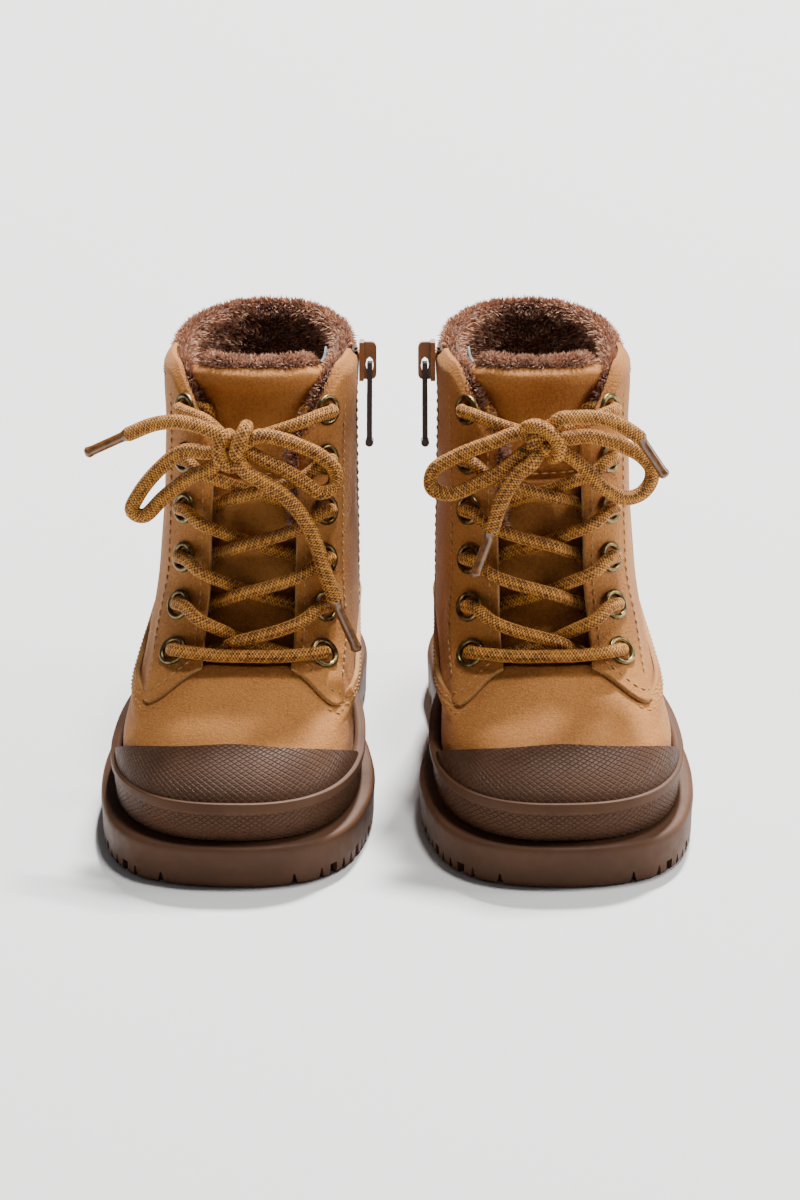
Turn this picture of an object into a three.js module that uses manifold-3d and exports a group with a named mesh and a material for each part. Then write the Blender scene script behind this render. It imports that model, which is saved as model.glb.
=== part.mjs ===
// A pair of children's pile-lined lace-up boots with lug soles, rubber toe caps and inner side zips.
// Millimetres, +Z up, toes towards -Y. The wearer's right boot stands at -X and the left one at +X.
// Each boot is designed in its own frame: x grows towards the inner (medial) side, d is the distance
// behind the tip of the toe, and z is the height above the ground. The left boot is the right one mirrored.
import * as THREE from "three";
import { mergeVertices } from "three/addons/utils/BufferGeometryUtils.js";
import Module from "manifold-3d";

const wasm = await Module();
wasm.setup();

// ---- driving dimensions ----
const SOLE_LENGTH = 192;
const SOLE_TOP = 13.5; // height of the flange at the toe
const SOLE_RISE = 0.015; // the flange climbs this much for each millimetre towards the heel
const BOOT_X = 48.5; // from the middle of the pair to the middle of each boot
const TOE_OUT = THREE.MathUtils.degToRad(2);
const LEATHER = 1.6;
const GAP = 0.35;
const LINING_OUT = -3.2; // the pile lining's outer and inner faces
const LINING_IN = -6.6;
const RUBBER = 2.3; // the rand round the foot
const CAP = 1.5; // the toe cap
const WRAP_GAP = 0.8; // between the upper and the rubber wrapped round it
const BOARD = 1.9;
const FOOTBED = 4.4;

const FIRST_ROW = 7; // the level of the lowest eyelets; each row above is one level higher
const LAST_ROW = 12;
const COLLAR = 12.85; // the level of the top line
const EYELET_GIRTH = 24.6;
const EYELET_BORE = 3.4;
const EYELET_FLANGE = 5;
const FACING_EDGE = 14; // half the width of the gap between the facings
const LACE_RADIUS = 1.9; // drawn tight between the eyelets
const BOW_RADIUS = 2.4; // slack, in the bow
const AGLET_RADIUS = 1.6;
const LACE_OUT = 4.3; // a lace lying on the facing, measured from its outer face
const LACE_IN = -6; // a lace lying behind the facing
const TONGUE_OUT = -8.9;
const TONGUE_THICK = 2.4;

const ZIP_TAPE_HALF = 4.2;
const ZIP_LOW = 6.42; // the level of the zip's lower end
const ZIP_LOW_D = 111;
const ZIP_HIGH_D = 128;

// ---- the shape of the upper ----
// Each level is a closed section through the boot, from a front point to a rear point:
// front d, front z, rear d, rear z, half width, d of the widest place, front and rear roundness.
const LEVELS = [
  [8.5, 14.0, 182.0, 16.6, 35.3, 60, 2.6, 2.5],
  [6.5, 19.5, 184.0, 21.5, 36.0, 60, 2.6, 2.5],
  [7.0, 25.0, 185.0, 26.5, 36.2, 60, 2.6, 2.5],
  [10.5, 30.0, 185.3, 31.5, 36.0, 60, 2.6, 2.5],
  [16.5, 34.0, 185.0, 36.0, 35.5, 61, 2.55, 2.5],
  [25.0, 37.5, 184.5, 40.5, 34.9, 65, 2.5, 2.45],
  [39.5, 43.5, 184.0, 45.5, 34.0, 75, 2.4, 2.4],
  [53.5, 52.5, 182.5, 51.5, 32.9, 90, 2.4, 2.35],
  [62.0, 65.0, 180.5, 64.0, 31.8, 102, 2.4, 2.3],
  [69.0, 78.5, 179.0, 77.5, 31.1, 110, 2.45, 2.25],
  [75.5, 92.5, 178.5, 91.5, 30.7, 116, 2.5, 2.2],
  [81.2, 107.5, 179.0, 105.5, 30.4, 120, 2.5, 2.2],
  [85.8, 122.5, 180.0, 119.0, 30.3, 123, 2.5, 2.2],
  [89.0, 137.0, 181.0, 132.0, 30.3, 126, 2.5, 2.2],
  [91.0, 151.0, 182.0, 145.0, 30.3, 129, 2.5, 2.2],
];
const WAIST = 0.15; // how much the foot narrows at its waist
const WAIST_D = 113;
const WAIST_REACH = 30;
const LEAN = 4.2; // how far the shaft stands inwards of the foot
const SECTION_STEPS = 120;

function catmull(a, b, c, e, t) {
  return 0.5 * (2 * b + (c - a) * t + (2 * a - 5 * b + 4 * c - e) * t * t + (3 * b - a - 3 * c + e) * t ** 3);
}

function levelAt(level) {
  const last = LEVELS.length - 1;
  const i = Math.min(Math.max(Math.floor(level), 0), last - 1);
  const t = level - i;
  const row = (k) => LEVELS[Math.min(Math.max(k, 0), last)];
  const before = i === 0 ? LEVELS[0].map((v, k) => 2 * v - LEVELS[1][k]) : row(i - 1);
  return LEVELS[0].map((_, k) => catmull(before[k], row(i)[k], row(i + 1)[k], row(i + 2)[k], t));
}

const sectionCache = new Map();

// Half of a section as points [x, d, z] with the girth measured along it from the front point.
function section(level) {
  const key = level.toFixed(5);
  if (sectionCache.has(key)) {
    return sectionCache.get(key);
  }
  const [frontD, frontZ, rearD, rearZ, half, wideD, frontN, rearN] = levelAt(level);
  const wide = (wideD - frontD) / (rearD - frontD);
  const waist = WAIST * THREE.MathUtils.clamp((7 - level) / 4, 0, 1);
  const points = [];
  let girth = 0;
  for (let i = 0; i <= SECTION_STEPS; i++) {
    const angle = (Math.PI * i) / SECTION_STEPS;
    const front = angle <= Math.PI / 2;
    const power = 2 / (front ? frontN : rearN);
    const along = Math.abs(Math.cos(angle)) ** power;
    const out = Math.sin(angle) ** power;
    const chord = front ? wide * (1 - along) : wide + (1 - wide) * along;
    const d = frontD + chord * (rearD - frontD);
    const z = frontZ + chord * (rearZ - frontZ);
    const narrow = 1 - waist * Math.exp(-(((d - WAIST_D) / WAIST_REACH) ** 2));
    const x = i === SECTION_STEPS ? 0 : half * out * narrow;
    if (i > 0) {
      const p = points[i - 1];
      girth += Math.hypot(x - p[0], d - p[1], z - p[2]);
    }
    points.push([x, d, z, girth]);
  }
  sectionCache.set(key, points);
  return points;
}

function halfGirth(level) {
  return section(level)[SECTION_STEPS][3];
}

// The point of the outer face at a level and a signed girth from the front line, medial side positive.
function facePoint(level, girth) {
  const points = section(level);
  const total = halfGirth(level);
  const wrapped = ((((girth + total) % (2 * total)) + 2 * total) % (2 * total)) - total;
  const reach = Math.abs(wrapped);
  let i = 1;
  while (i < SECTION_STEPS && points[i][3] < reach) {
    i++;
  }
  const [a, b] = [points[i - 1], points[i]];
  const t = (reach - a[3]) / (b[3] - a[3]);
  const lean = LEAN * THREE.MathUtils.smoothstep(level, 3, 9);
  const x = Math.sign(wrapped) * (a[0] + (b[0] - a[0]) * t) + lean;
  return new THREE.Vector3(x, a[1] + (b[1] - a[1]) * t, a[2] + (b[2] - a[2]) * t);
}

function faceNormal(level, girth) {
  const up = facePoint(level + 0.04, girth).sub(facePoint(level - 0.04, girth));
  const round = facePoint(level, girth + 1.2).sub(facePoint(level, girth - 1.2));
  return round.cross(up).normalize();
}

// A point at some distance outside (positive) or inside (negative) the outer face, never in the sole.
function at(level, girth, offset = 0) {
  const p = facePoint(level, girth).addScaledVector(faceNormal(level, girth), offset);
  p.z = Math.max(p.z, soleTop(p.y) + GAP);
  return p;
}

// ---- building blocks ----
function closedMesh(points, triangles) {
  const geometry = new THREE.BufferGeometry();
  geometry.setAttribute("position", new THREE.Float32BufferAttribute(points.flatMap((p) => [p.x, p.y, p.z]), 3));
  let volume = 0;
  for (const [i, j, k] of triangles) {
    volume += points[i].dot(new THREE.Vector3().crossVectors(points[j], points[k]));
  }
  geometry.setIndex(triangles.flatMap(([i, j, k]) => (volume > 0 ? [i, j, k] : [i, k, j])));
  return geometry;
}

// A sheet with thickness: outer(a, b) and inner(a, b) give its two faces for a and b from 0 to 1.
function slab(outer, inner, across, along, ring = false) {
  const points = [];
  const columns = ring ? across : across + 1;
  for (const face of [outer, inner]) {
    for (let j = 0; j <= along; j++) {
      for (let i = 0; i < columns; i++) {
        points.push(face(i / across, j / along));
      }
    }
  }
  const id = (layer, i, j) => layer * columns * (along + 1) + j * columns + (i % columns);
  const triangles = [];
  const quad = (a, b, c, e) => triangles.push([a, b, c], [a, c, e]);
  for (let j = 0; j < along; j++) {
    for (let i = 0; i < across; i++) {
      quad(id(0, i, j), id(0, i + 1, j), id(0, i + 1, j + 1), id(0, i, j + 1));
      quad(id(1, i, j + 1), id(1, i + 1, j + 1), id(1, i + 1, j), id(1, i, j));
    }
  }
  for (let i = 0; i < across; i++) {
    quad(id(1, i, 0), id(1, i + 1, 0), id(0, i + 1, 0), id(0, i, 0));
    quad(id(0, i, along), id(0, i + 1, along), id(1, i + 1, along), id(1, i, along));
  }
  if (!ring) {
    for (let j = 0; j < along; j++) {
      quad(id(0, 0, j), id(0, 0, j + 1), id(1, 0, j + 1), id(1, 0, j));
      quad(id(1, across, j), id(1, across, j + 1), id(0, across, j + 1), id(0, across, j));
    }
  }
  return closedMesh(points, triangles);
}

// A panel of the upper. where(a, b) gives its level and girth.
function panel(where, outer, inner, across, along) {
  const face = (offset) => (a, b) => at(...where(a, b), offset);
  return slab(face(outer), face(inner), across, along);
}

// A band all round the boot between two levels.
function band(low, high, outer, inner, across, along) {
  const face = (offset) => (a, b) => {
    const level = THREE.MathUtils.lerp(low, high, b);
    const share = 2 * (a - (0.45 * Math.sin(4 * Math.PI * a)) / (4 * Math.PI)) - 1; // closer at toe and heel
    return at(level, share * halfGirth(level), offset);
  };
  return slab(face(outer), face(inner), across, along, true);
}

function solidOf(geometry) {
  const bare = geometry.clone();
  bare.deleteAttribute("normal");
  bare.deleteAttribute("uv");
  const merged = mergeVertices(bare, 1e-4);
  const vertProperties = new Float32Array(merged.attributes.position.array);
  const triVerts = new Uint32Array(merged.index.array);
  return new wasm.Manifold(new wasm.Mesh({ numProp: 3, vertProperties, triVerts }));
}

function geometryOf(solid) {
  const mesh = solid.getMesh();
  const geometry = new THREE.BufferGeometry();
  geometry.setAttribute("position", new THREE.BufferAttribute(new Float32Array(mesh.vertProperties), 3));
  geometry.setIndex(new THREE.BufferAttribute(new Uint32Array(mesh.triVerts), 1));
  return geometry;
}

function cut(geometry, cutters) {
  return geometryOf(cutters.reduce((solid, cutter) => solid.subtract(solidOf(cutter)), solidOf(geometry)));
}

function join(geometries) {
  const [first, ...rest] = geometries.map(solidOf);
  return geometryOf(rest.reduce((solid, other) => solid.add(other), first));
}

// Turns a geometry made along +Z so that +Z lies along normal at place, with +X as near as it can be to side.
function aim(geometry, place, normal, side = new THREE.Vector3(1, 0, 0)) {
  const z = normal.clone().normalize();
  const y = new THREE.Vector3().crossVectors(z, side).normalize();
  const x = new THREE.Vector3().crossVectors(y, z);
  const turn = new THREE.Matrix4().makeBasis(x, y, z).setPosition(place);
  return geometry.applyMatrix4(turn);
}

function rod(radius, low, high, sides = 12) {
  return new THREE.CylinderGeometry(radius, radius, high - low, sides)
    .rotateX(Math.PI / 2)
    .translate(0, 0, (low + high) / 2);
}

// A round tube along a smooth curve through the points, closed at both ends.
function tube(points, radius, stepsEach, sides = 8) {
  const path = new THREE.CatmullRomCurve3(points, false, "centripetal");
  const steps = stepsEach * (points.length - 1);
  const rings = [];
  const first = path.getTangent(0);
  const normal = new THREE.Vector3(first.z, first.x, first.y).cross(first).normalize();
  for (let i = 0; i <= steps; i++) {
    const centre = path.getPoint(i / steps);
    const tangent = path.getTangent(i / steps);
    normal.addScaledVector(tangent, -normal.dot(tangent)).normalize();
    const binormal = new THREE.Vector3().crossVectors(tangent, normal);
    for (let k = 0; k < sides; k++) {
      const angle = (2 * Math.PI * k) / sides;
      const p = centre.clone().addScaledVector(normal, radius * Math.cos(angle));
      rings.push(p.addScaledVector(binormal, radius * Math.sin(angle)));
    }
  }
  const triangles = [];
  for (let i = 0; i < steps; i++) {
    for (let k = 0; k < sides; k++) {
      const [a, b] = [i * sides + k, i * sides + ((k + 1) % sides)];
      triangles.push([a, b, b + sides], [a, b + sides, a + sides]);
    }
  }
  for (let k = 1; k < sides - 1; k++) {
    triangles.push([0, k + 1, k], [steps * sides, steps * sides + k, steps * sides + k + 1]);
  }
  return closedMesh(rings, triangles);
}

function soleTop(d) {
  return SOLE_TOP + SOLE_RISE * d;
}

// A flat layer on the sole: an outline of [x, d] points between two heights above the flange.
function layer(outline, low, high) {
  const shape = new THREE.Shape(outline.map(([x, d]) => new THREE.Vector2(x, d)));
  const geometry = new THREE.ExtrudeGeometry(shape, { depth: 1, bevelEnabled: false, curveSegments: 1 });
  const place = geometry.attributes.position;
  for (let i = 0; i < place.count; i++) {
    place.setZ(i, soleTop(place.getY(i)) + (place.getZ(i) > 0.5 ? high : low));
  }
  return geometry;
}

// The outline of the upper at a level, moved in or out.
function outlineAt(level, offset, count) {
  const total = halfGirth(level);
  const points = [];
  for (let i = 0; i < count; i++) {
    const p = at(level, (2 * (i / count) - 1) * total, offset);
    points.push([p.x, p.y]);
  }
  return points;
}

// ---- sole ----
// The edge of the outsole's flange: x and d, from the tip of the toe round the medial side.
const SOLE_EDGE = [
  [0, 0], [14.5, 1.4], [27, 6.5], [36, 17], [41, 33], [43, 54], [40.5, 76], [36.3, 97], [35, 115],
  [36, 138], [36.3, 156], [31.5, 175], [19, 188], [0, 192], [-19, 188], [-31.5, 175], [-37, 156],
  [-37.3, 135], [-37.5, 115], [-39.5, 95], [-42.5, 74], [-43.2, 54], [-41.3, 33], [-36.5, 17],
  [-28, 6.5], [-15, 1.4],
];
const LUG_DEPTH = 4.2;
const LUG_GAP = 3.2;
const LUG_REACH = 9;
const LUG_SPACING = 14.5;
const TOE_LUG = 21; // half the width of the plain lug at the tip of the toe
const CHANNEL = 3.4;

const soleCurve = new THREE.CatmullRomCurve3(
  SOLE_EDGE.map(([x, d]) => new THREE.Vector3(x, d, 0)), true, "centripetal");

function outsole() {
  const edge = soleCurve.getSpacedPoints(60).slice(0, 60).map((p) => [p.x, p.y]);
  const shape = new THREE.Shape(edge.map(([x, d]) => new THREE.Vector2(x, d)));
  const body = new THREE.ExtrudeGeometry(shape, { depth: 1, bevelEnabled: false, curveSegments: 1 });
  const place = body.attributes.position;
  for (let i = 0; i < place.count; i++) {
    place.setZ(i, place.getZ(i) > 0.5 ? soleTop(place.getY(i)) : 0);
  }
  const cutters = [];
  const round = soleCurve.getLength();
  const count = Math.round((round - 2 * TOE_LUG) / LUG_SPACING);
  for (let i = 0; i <= count; i++) {
    const u = (TOE_LUG + ((round - 2 * TOE_LUG) * i) / count) / round;
    const spot = soleCurve.getPointAt(u);
    const along = soleCurve.getTangentAt(u);
    const notch = new THREE.BoxGeometry(LUG_GAP, 2 * LUG_REACH, 2 * LUG_DEPTH);
    notch.rotateZ(Math.atan2(along.y, along.x)).translate(spot.x, spot.y, 0);
    cutters.push(notch);
  }
  for (let d = 24; d < SOLE_LENGTH - 12; d += 2 * LUG_SPACING) {
    for (const side of [-1, 1]) {
      const groove = new THREE.BoxGeometry(26, CHANNEL, 2 * LUG_DEPTH);
      groove.rotateZ(side * 0.5).translate(side * 10.5, d, 0);
      cutters.push(groove);
    }
  }
  return cut(body, cutters);
}

// ---- upper ----
function capTop(share) {
  return [5 - 2.3 * Math.abs(share) ** 2.4, 62 * share];
}

function toeCap() {
  const where = (a, b) => {
    const share = 2 * a - 1;
    const [level, girth] = capTop(share);
    return [THREE.MathUtils.lerp(2.25, level, b), THREE.MathUtils.lerp(68 * share, girth, b)];
  };
  return panel(where, 1.1 + CAP, 1.1, 16, 4);
}

// The upper edge of the vamp, by girth: the throat, the low point under each facing, and the side wings.
function vampTop(girth) {
  const reach = Math.abs(girth);
  if (reach < 36) {
    return 7 - 1.25 * THREE.MathUtils.smoothstep(reach, 11, 36);
  }
  return 5.75 + 0.75 * THREE.MathUtils.smoothstep(reach, 36, 105);
}

const WING_END = 102; // the girth at which the vamp's wings meet the counter
const COUNTER_TOP = 6.5;

function vamp() {
  const where = (a, b) => {
    const girth = (2 * a - 1) * WING_END;
    return [THREE.MathUtils.lerp(0.06, vampTop(girth), b), girth];
  };
  return panel(where, 0, -LEATHER, 32, 5);
}

function heelCounter() {
  const where = (a, b) => {
    const level = THREE.MathUtils.lerp(0.06, COUNTER_TOP, b);
    const total = halfGirth(level);
    return [level, THREE.MathUtils.lerp(WING_END + GAP, 2 * total - WING_END - GAP, a)];
  };
  return panel(where, 0, -LEATHER, 20, 5);
}

// The lower and upper edges of the quarters, by girth.
function quarterLow(girth) {
  const reach = Math.abs(girth);
  const gap = 0.06;
  return (reach < 105 ? vampTop(reach) : COUNTER_TOP) + gap;
}

function quarterTop(girth) {
  const reach = Math.abs(girth);
  return COLLAR - 1.5 * (1 - THREE.MathUtils.smoothstep(reach, FACING_EDGE - 6, FACING_EDGE + 22));
}

// The girth of the zip's middle line at a level: a straight line down the medial side.
function zipGirth(level) {
  const share = (level - ZIP_LOW) / (COLLAR - ZIP_LOW);
  const wanted = THREE.MathUtils.lerp(ZIP_LOW_D, ZIP_HIGH_D, share);
  let [low, high] = [30, halfGirth(level) - 20];
  for (let i = 0; i < 30; i++) {
    const middle = (low + high) / 2;
    [low, high] = facePoint(level, middle).y < wanted ? [middle, high] : [low, middle];
  }
  return (low + high) / 2;
}

// A part of the quarter between two edges, each given as a girth that may change with the level.
function quarter(side, from, to, across) {
  const where = (a, b) => {
    let level = THREE.MathUtils.lerp(FIRST_ROW, COLLAR, b);
    let girth = 0;
    for (let i = 0; i < 4; i++) {
      girth = THREE.MathUtils.lerp(from(level), to(level), a);
      level = THREE.MathUtils.lerp(quarterLow(girth), quarterTop(girth), b);
    }
    return [level, side * girth];
  };
  return panel(where, 0, -LEATHER, across, 6);
}

function eyeletHoles(side) {
  const holes = [];
  for (let row = FIRST_ROW; row <= LAST_ROW; row++) {
    const normal = faceNormal(row, side * EYELET_GIRTH);
    holes.push(aim(rod(EYELET_BORE + 1.1, -5, 4, 8), at(row, side * EYELET_GIRTH), normal));
  }
  return holes;
}

const rearSeam = (level) => halfGirth(level) - GAP / 2;
const lateralQuarter = () => cut(quarter(-1, () => FACING_EDGE, rearSeam, 15), eyeletHoles(-1));
const medialQuarter = () =>
  cut(quarter(1, () => FACING_EDGE, (level) => zipGirth(level) - ZIP_TAPE_HALF, 8),
    eyeletHoles(1));
const rearMedialQuarter = () =>
  quarter(1, (level) => zipGirth(level) + ZIP_TAPE_HALF, rearSeam, 7);

// Six eyelets on the narrow stay tape that runs behind the facing beside them.
function eyeletStrip(side) {
  const where = (a, b) => [
    THREE.MathUtils.lerp(FIRST_ROW - 0.2, LAST_ROW + 0.2, b),
    side * (EYELET_GIRTH + 3 + 2.4 * a),
  ];
  const tape = panel(where, -2.5, -3, 1, 6);
  const profile = [
    [EYELET_BORE, -3], [EYELET_BORE + 0.4, -3], [EYELET_BORE + 0.4, 1.05],
    [EYELET_FLANGE, 1.05], [EYELET_BORE, 1.5], [EYELET_BORE, -3],
  ].map(([r, z]) => new THREE.Vector2(r, z));
  const rings = [];
  for (let row = FIRST_ROW; row <= LAST_ROW; row++) {
    const ring = new THREE.LatheGeometry(profile, 8).rotateX(Math.PI / 2);
    rings.push(aim(ring, at(row, side * EYELET_GIRTH), faceNormal(row, side * EYELET_GIRTH)));
  }
  return join([tape, ...rings]);
}

// ---- inside ----
const THROAT_HALF = 34; // the girth at which the lining ends beside the tongue

function lining() {
  const tubeShape = band(0.5, COLLAR + 0.15, LINING_OUT, LINING_IN, 32, 6);
  const slot = panel((a, b) => [THREE.MathUtils.lerp(6.5, 14, b), (2 * a - 1) * THROAT_HALF], 3, -16, 4, 5);
  return cut(tubeShape, [slot]);
}

function tongueWhere(a, b) {
  const level = THREE.MathUtils.lerp(6.62, 13.05, b);
  const half = THREE.MathUtils.lerp(22, 29, b);
  return [level, (2 * a - 1) * half];
}

const tongue = () => panel(tongueWhere, TONGUE_OUT, TONGUE_OUT - TONGUE_THICK, 6, 7);
const tongueLining = () => panel((a, b) => {
  const [level, girth] = tongueWhere(a, b);
  return [level + 0.12 * b, girth];
}, TONGUE_OUT - TONGUE_THICK - GAP, TONGUE_OUT - TONGUE_THICK - GAP - 3, 6, 7);

const insoleBoard = () => layer(outlineAt(0.3, -3.2, 36), GAP, GAP + BOARD);
const footbed = () => layer(outlineAt(1, LINING_IN - 1, 32), 2 * GAP + BOARD, 2 * GAP + BOARD + FOOTBED);

// ---- zip ----
function zipPoint(level, aside, offset) {
  return at(level, zipGirth(level) + aside, offset);
}

function zipTape() {
  const where = (half) => (a, b) => {
    const level = THREE.MathUtils.lerp(ZIP_LOW + 0.02, COLLAR - 0.05, b);
    return [level, zipGirth(level) + (2 * a - 1) * half];
  };
  const tape = panel(where(ZIP_TAPE_HALF - 0.9), -0.7, -LEATHER, 2, 8);
  const chain = panel(where(1.6), -0.3, -1, 1, 8);
  return join([tape, chain]);
}

const SLIDER_LEVEL = 12.45;
const SLIDER_STAND = 0.85; // from the upper's face to the slider's plate
const SLIDER_HALF = 4.3;
const SLIDER_TALL = 6.2;
const PULL_LONG = 25;

// The direction down the zip, and the direction out of the boot square to it.
function zipFrame() {
  const down = zipPoint(ZIP_LOW + 0.2, 0, 0).sub(zipPoint(COLLAR - 0.2, 0, 0)).normalize();
  const out = faceNormal(SLIDER_LEVEL, zipGirth(SLIDER_LEVEL));
  out.addScaledVector(down, -out.dot(down)).normalize();
  return { down, out };
}

// The slider in its own frame: x outwards, y along the chain (up), z across it.
function zipSlider() {
  const { down, out } = zipFrame();
  const plate = new THREE.BoxGeometry(1.5, 2 * SLIDER_TALL, 2 * SLIDER_HALF);
  plate.translate(SLIDER_STAND + 0.75, 0, 0);
  const bridge = new THREE.Shape();
  bridge.moveTo(0, -6);
  bridge.lineTo(2.6, -6);
  bridge.quadraticCurveTo(4.3, -6, 4.3, -4);
  bridge.lineTo(4.3, 4);
  bridge.quadraticCurveTo(4.3, 6, 2.6, 6);
  bridge.lineTo(0, 6);
  const window = new THREE.Path();
  window.absellipse(2.1, -1.4, 1.25, 2.6, 0, 2 * Math.PI, true);
  bridge.holes.push(window);
  const arch = new THREE.ExtrudeGeometry(bridge, { depth: 2.4, bevelEnabled: false, curveSegments: 4 });
  arch.translate(SLIDER_STAND + 1.2, 0, -1.2);
  const up = down.clone().negate();
  const across = new THREE.Vector3().crossVectors(out, up);
  const turn = new THREE.Matrix4().makeBasis(out, up, across).setPosition(zipPoint(SLIDER_LEVEL, 0, 0));
  return join([plate, arch]).applyMatrix4(turn);
}

function pullPivot() {
  const { down, out } = zipFrame();
  return zipPoint(SLIDER_LEVEL, 0, 0).addScaledVector(out, SLIDER_STAND + 3.3).addScaledVector(down, 1.4);
}

// The pull hangs from the slider's bridge: a fork over the bridge, then a flat strip with a thick end.
function zipPull() {
  const pin = rod(0.8, -2.6, 2.6, 10);
  const cheeks = [-1, 1].map((side) => {
    const cheek = new THREE.BoxGeometry(1.6, 10.6, 0.8);
    return cheek.translate(0, -4.5, side * 2.2);
  });
  const strip = new THREE.BoxGeometry(1.7, PULL_LONG - 9, 5.2).translate(0, -9 - (PULL_LONG - 9) / 2, 0);
  const end = rod(1.35, -3, 3, 10).translate(0, -PULL_LONG, 0);
  const { down, out } = zipFrame();
  const across = new THREE.Vector3().crossVectors(down, out).normalize();
  const up = new THREE.Vector3(0, 0, 1);
  up.addScaledVector(across, -up.dot(across)).normalize();
  const outwards = new THREE.Vector3().crossVectors(up, across);
  const turn = new THREE.Matrix4().makeBasis(outwards, up, across).setPosition(pullPivot());
  return join([pin, ...cheeks, strip, end]).applyMatrix4(turn);
}

// ---- laces ----
// The U-turn of a lace through an eyelet, from outside to inside.
function turnIn(row, side) {
  const girth = side * EYELET_GIRTH;
  const middle = (LACE_OUT + LACE_IN) / 2;
  return [
    at(row, girth - side * 5, LACE_OUT),
    at(row, girth - side * 0.5, LACE_OUT - 1.2),
    at(row, girth + side * 0.8, middle),
    at(row, girth - side * 0.5, LACE_IN + 1.2),
    at(row, girth - side * 5, LACE_IN),
  ];
}

// A rung from behind one facing, across the tongue, to the front of the other facing one row higher.
// It passes over or under the rung that crosses it.
function rung(row, side, over) {
  const across = over
    ? [[0.34, 9, -3.4], [0.42, 4.5, 0.75], [0.5, 0, 2.1], [0.66, -9, 3.2]]
    : [[0.34, 9, -5.5], [0.5, 0, -4.4], [0.58, -4.5, -3.8], [0.68, -9.5, -0.2]];
  return [
    at(row + 0.2, side * (FACING_EDGE + 2), LACE_IN),
    ...across.map(([rise, girth, offset]) => at(row + rise, side * girth, offset)),
    at(row + 0.8, -side * (FACING_EDGE + 1), LACE_OUT - 0.1),
  ];
}

// One half of the lace: from the middle of the bar over the lowest row, crossing at every row, and out of
// the top eyelet. The half that lies over the other changes at each crossing.
function laceHalf(startSide, leads) {
  let side = startSide;
  const points = [at(FIRST_ROW + 0.08, side * 0.3, 2.9), at(FIRST_ROW + 0.06, side * 9, 3.1)];
  for (let row = FIRST_ROW; row < LAST_ROW - 1; row++) {
    points.push(...turnIn(row, side));
    points.push(...rung(row, side, (row - FIRST_ROW) % 2 === 0 ? leads : !leads));
    side = -side;
  }
  points.push(...turnIn(LAST_ROW - 1, side));
  points.push(at(LAST_ROW - 0.5, side * (EYELET_GIRTH - 3.5), LACE_IN - 0.3));
  points.push(...turnIn(LAST_ROW, side).reverse());
  return tube(points, LACE_RADIUS, 1);
}

// A place in front of the facings: its level, x, and height over the boot's front line.
function front([level, x, height]) {
  return at(level, 0, height).add(new THREE.Vector3(x, 0, 0));
}

// The bow of each boot: its knot, loops and ends, as level, x and height over the front line. The last
// point of an end is the tip of its aglet.
const BOWS = {
  right: {
    knot: [11.45, -5.3, 8.5],
    loop_lateral: [
      [11.3, -13.3, 8], [11.32, -21.7, 6.5], [10.92, -30, 3.5], [10.4, -36.5, 1.5], [10.12, -38.2, 0.8],
      [10.02, -34.6, 0.8], [10.4, -28, 2.5], [10.8, -19.5, 5.5], [11, -13, 7.5],
    ],
    loop_medial: [
      [11.66, 2.4, 9], [11.62, 7.5, 8.4], [11.46, 14.5, 6.2], [11.25, 21, 4], [10.95, 25.4, 1.8],
      [10.66, 25, 1.2], [10.52, 20.8, 3.4], [10.72, 15.8, 6], [10.96, 10, 7.4], [11.16, 3.4, 8.4],
    ],
    end_lateral: [
      [11.75, -12.5, 11], [11.93, -21.7, 9.5], [11.88, -30.5, 7], [11.64, -39.4, 5], [11.26, -52, 3.5],
    ],
    end_medial: [
      [11, -3, 11.5], [10.7, 4, 10.8], [10.45, 10, 9], [10.02, 15.8, 7.2], [9.56, 19.6, 5.4],
      [8.94, 22.6, 3.4], [8.35, 26, 0.4], [7.42, 33.5, -6],
    ],
  },
  left: {
    knot: [11.56, -0.7, 8.5],
    loop_medial: [
      [11.72, 7.2, 8.5], [11.56, 14.2, 7.5], [11.26, 26, 4], [10.95, 33.6, 2], [10.62, 34, 1.5],
      [10.5, 28.5, 2.2], [10.7, 20, 4.6], [11, 11.5, 7.2], [11.26, 6.6, 8],
    ],
    loop_lateral: [
      [11.6, -8.6, 8.5], [11.64, -14, 8], [11.55, -20.5, 6.8], [11.38, -27, 5], [11.18, -32, 3.4],
      [10.95, -34.8, 2], [10.7, -34.6, 1], [10.47, -31.7, 0.6], [10.38, -27.3, 1], [10.47, -22.6, 2.8],
      [10.7, -17.6, 5.4], [11, -13.2, 7], [11.25, -8.4, 8],
    ],
    end_lateral: [
      [12.02, -5.2, 11.5], [12.06, -10.5, 11.6], [12.06, -15.5, 11.2], [11.98, -21, 10.6],
      [11.82, -26, 9.8], [11.6, -30.6, 9], [10.84, -38.4, 6.6],
    ],
    end_medial: [
      [11.1, 3.4, 12], [10.9, 7.4, 11], [10.38, 12.4, 9], [9.72, 16, 7], [8.86, 21, 4],
    ],
  },
};
const KNOT_RADII = [6.2, 5, 5.4]; // across, out and up

function knot(bow) {
  const ball = new THREE.SphereGeometry(1, 12, 8).scale(...KNOT_RADII);
  const centre = front(bow.knot);
  const out = faceNormal(bow.knot[0], 0);
  return aim(ball.rotateX(Math.PI / 2), centre, out);
}

const loop = (points) => tube(points.map(front), BOW_RADIUS, 2);
const laceEnd = (points) => tube(points.slice(0, -1).map(front), BOW_RADIUS, 2);

function aglet(points) {
  const [from, tip] = points.slice(-2).map(front);
  const along = tip.clone().sub(from);
  return aim(rod(AGLET_RADIUS, 0.8, along.length(), 8), from, along);
}

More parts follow.
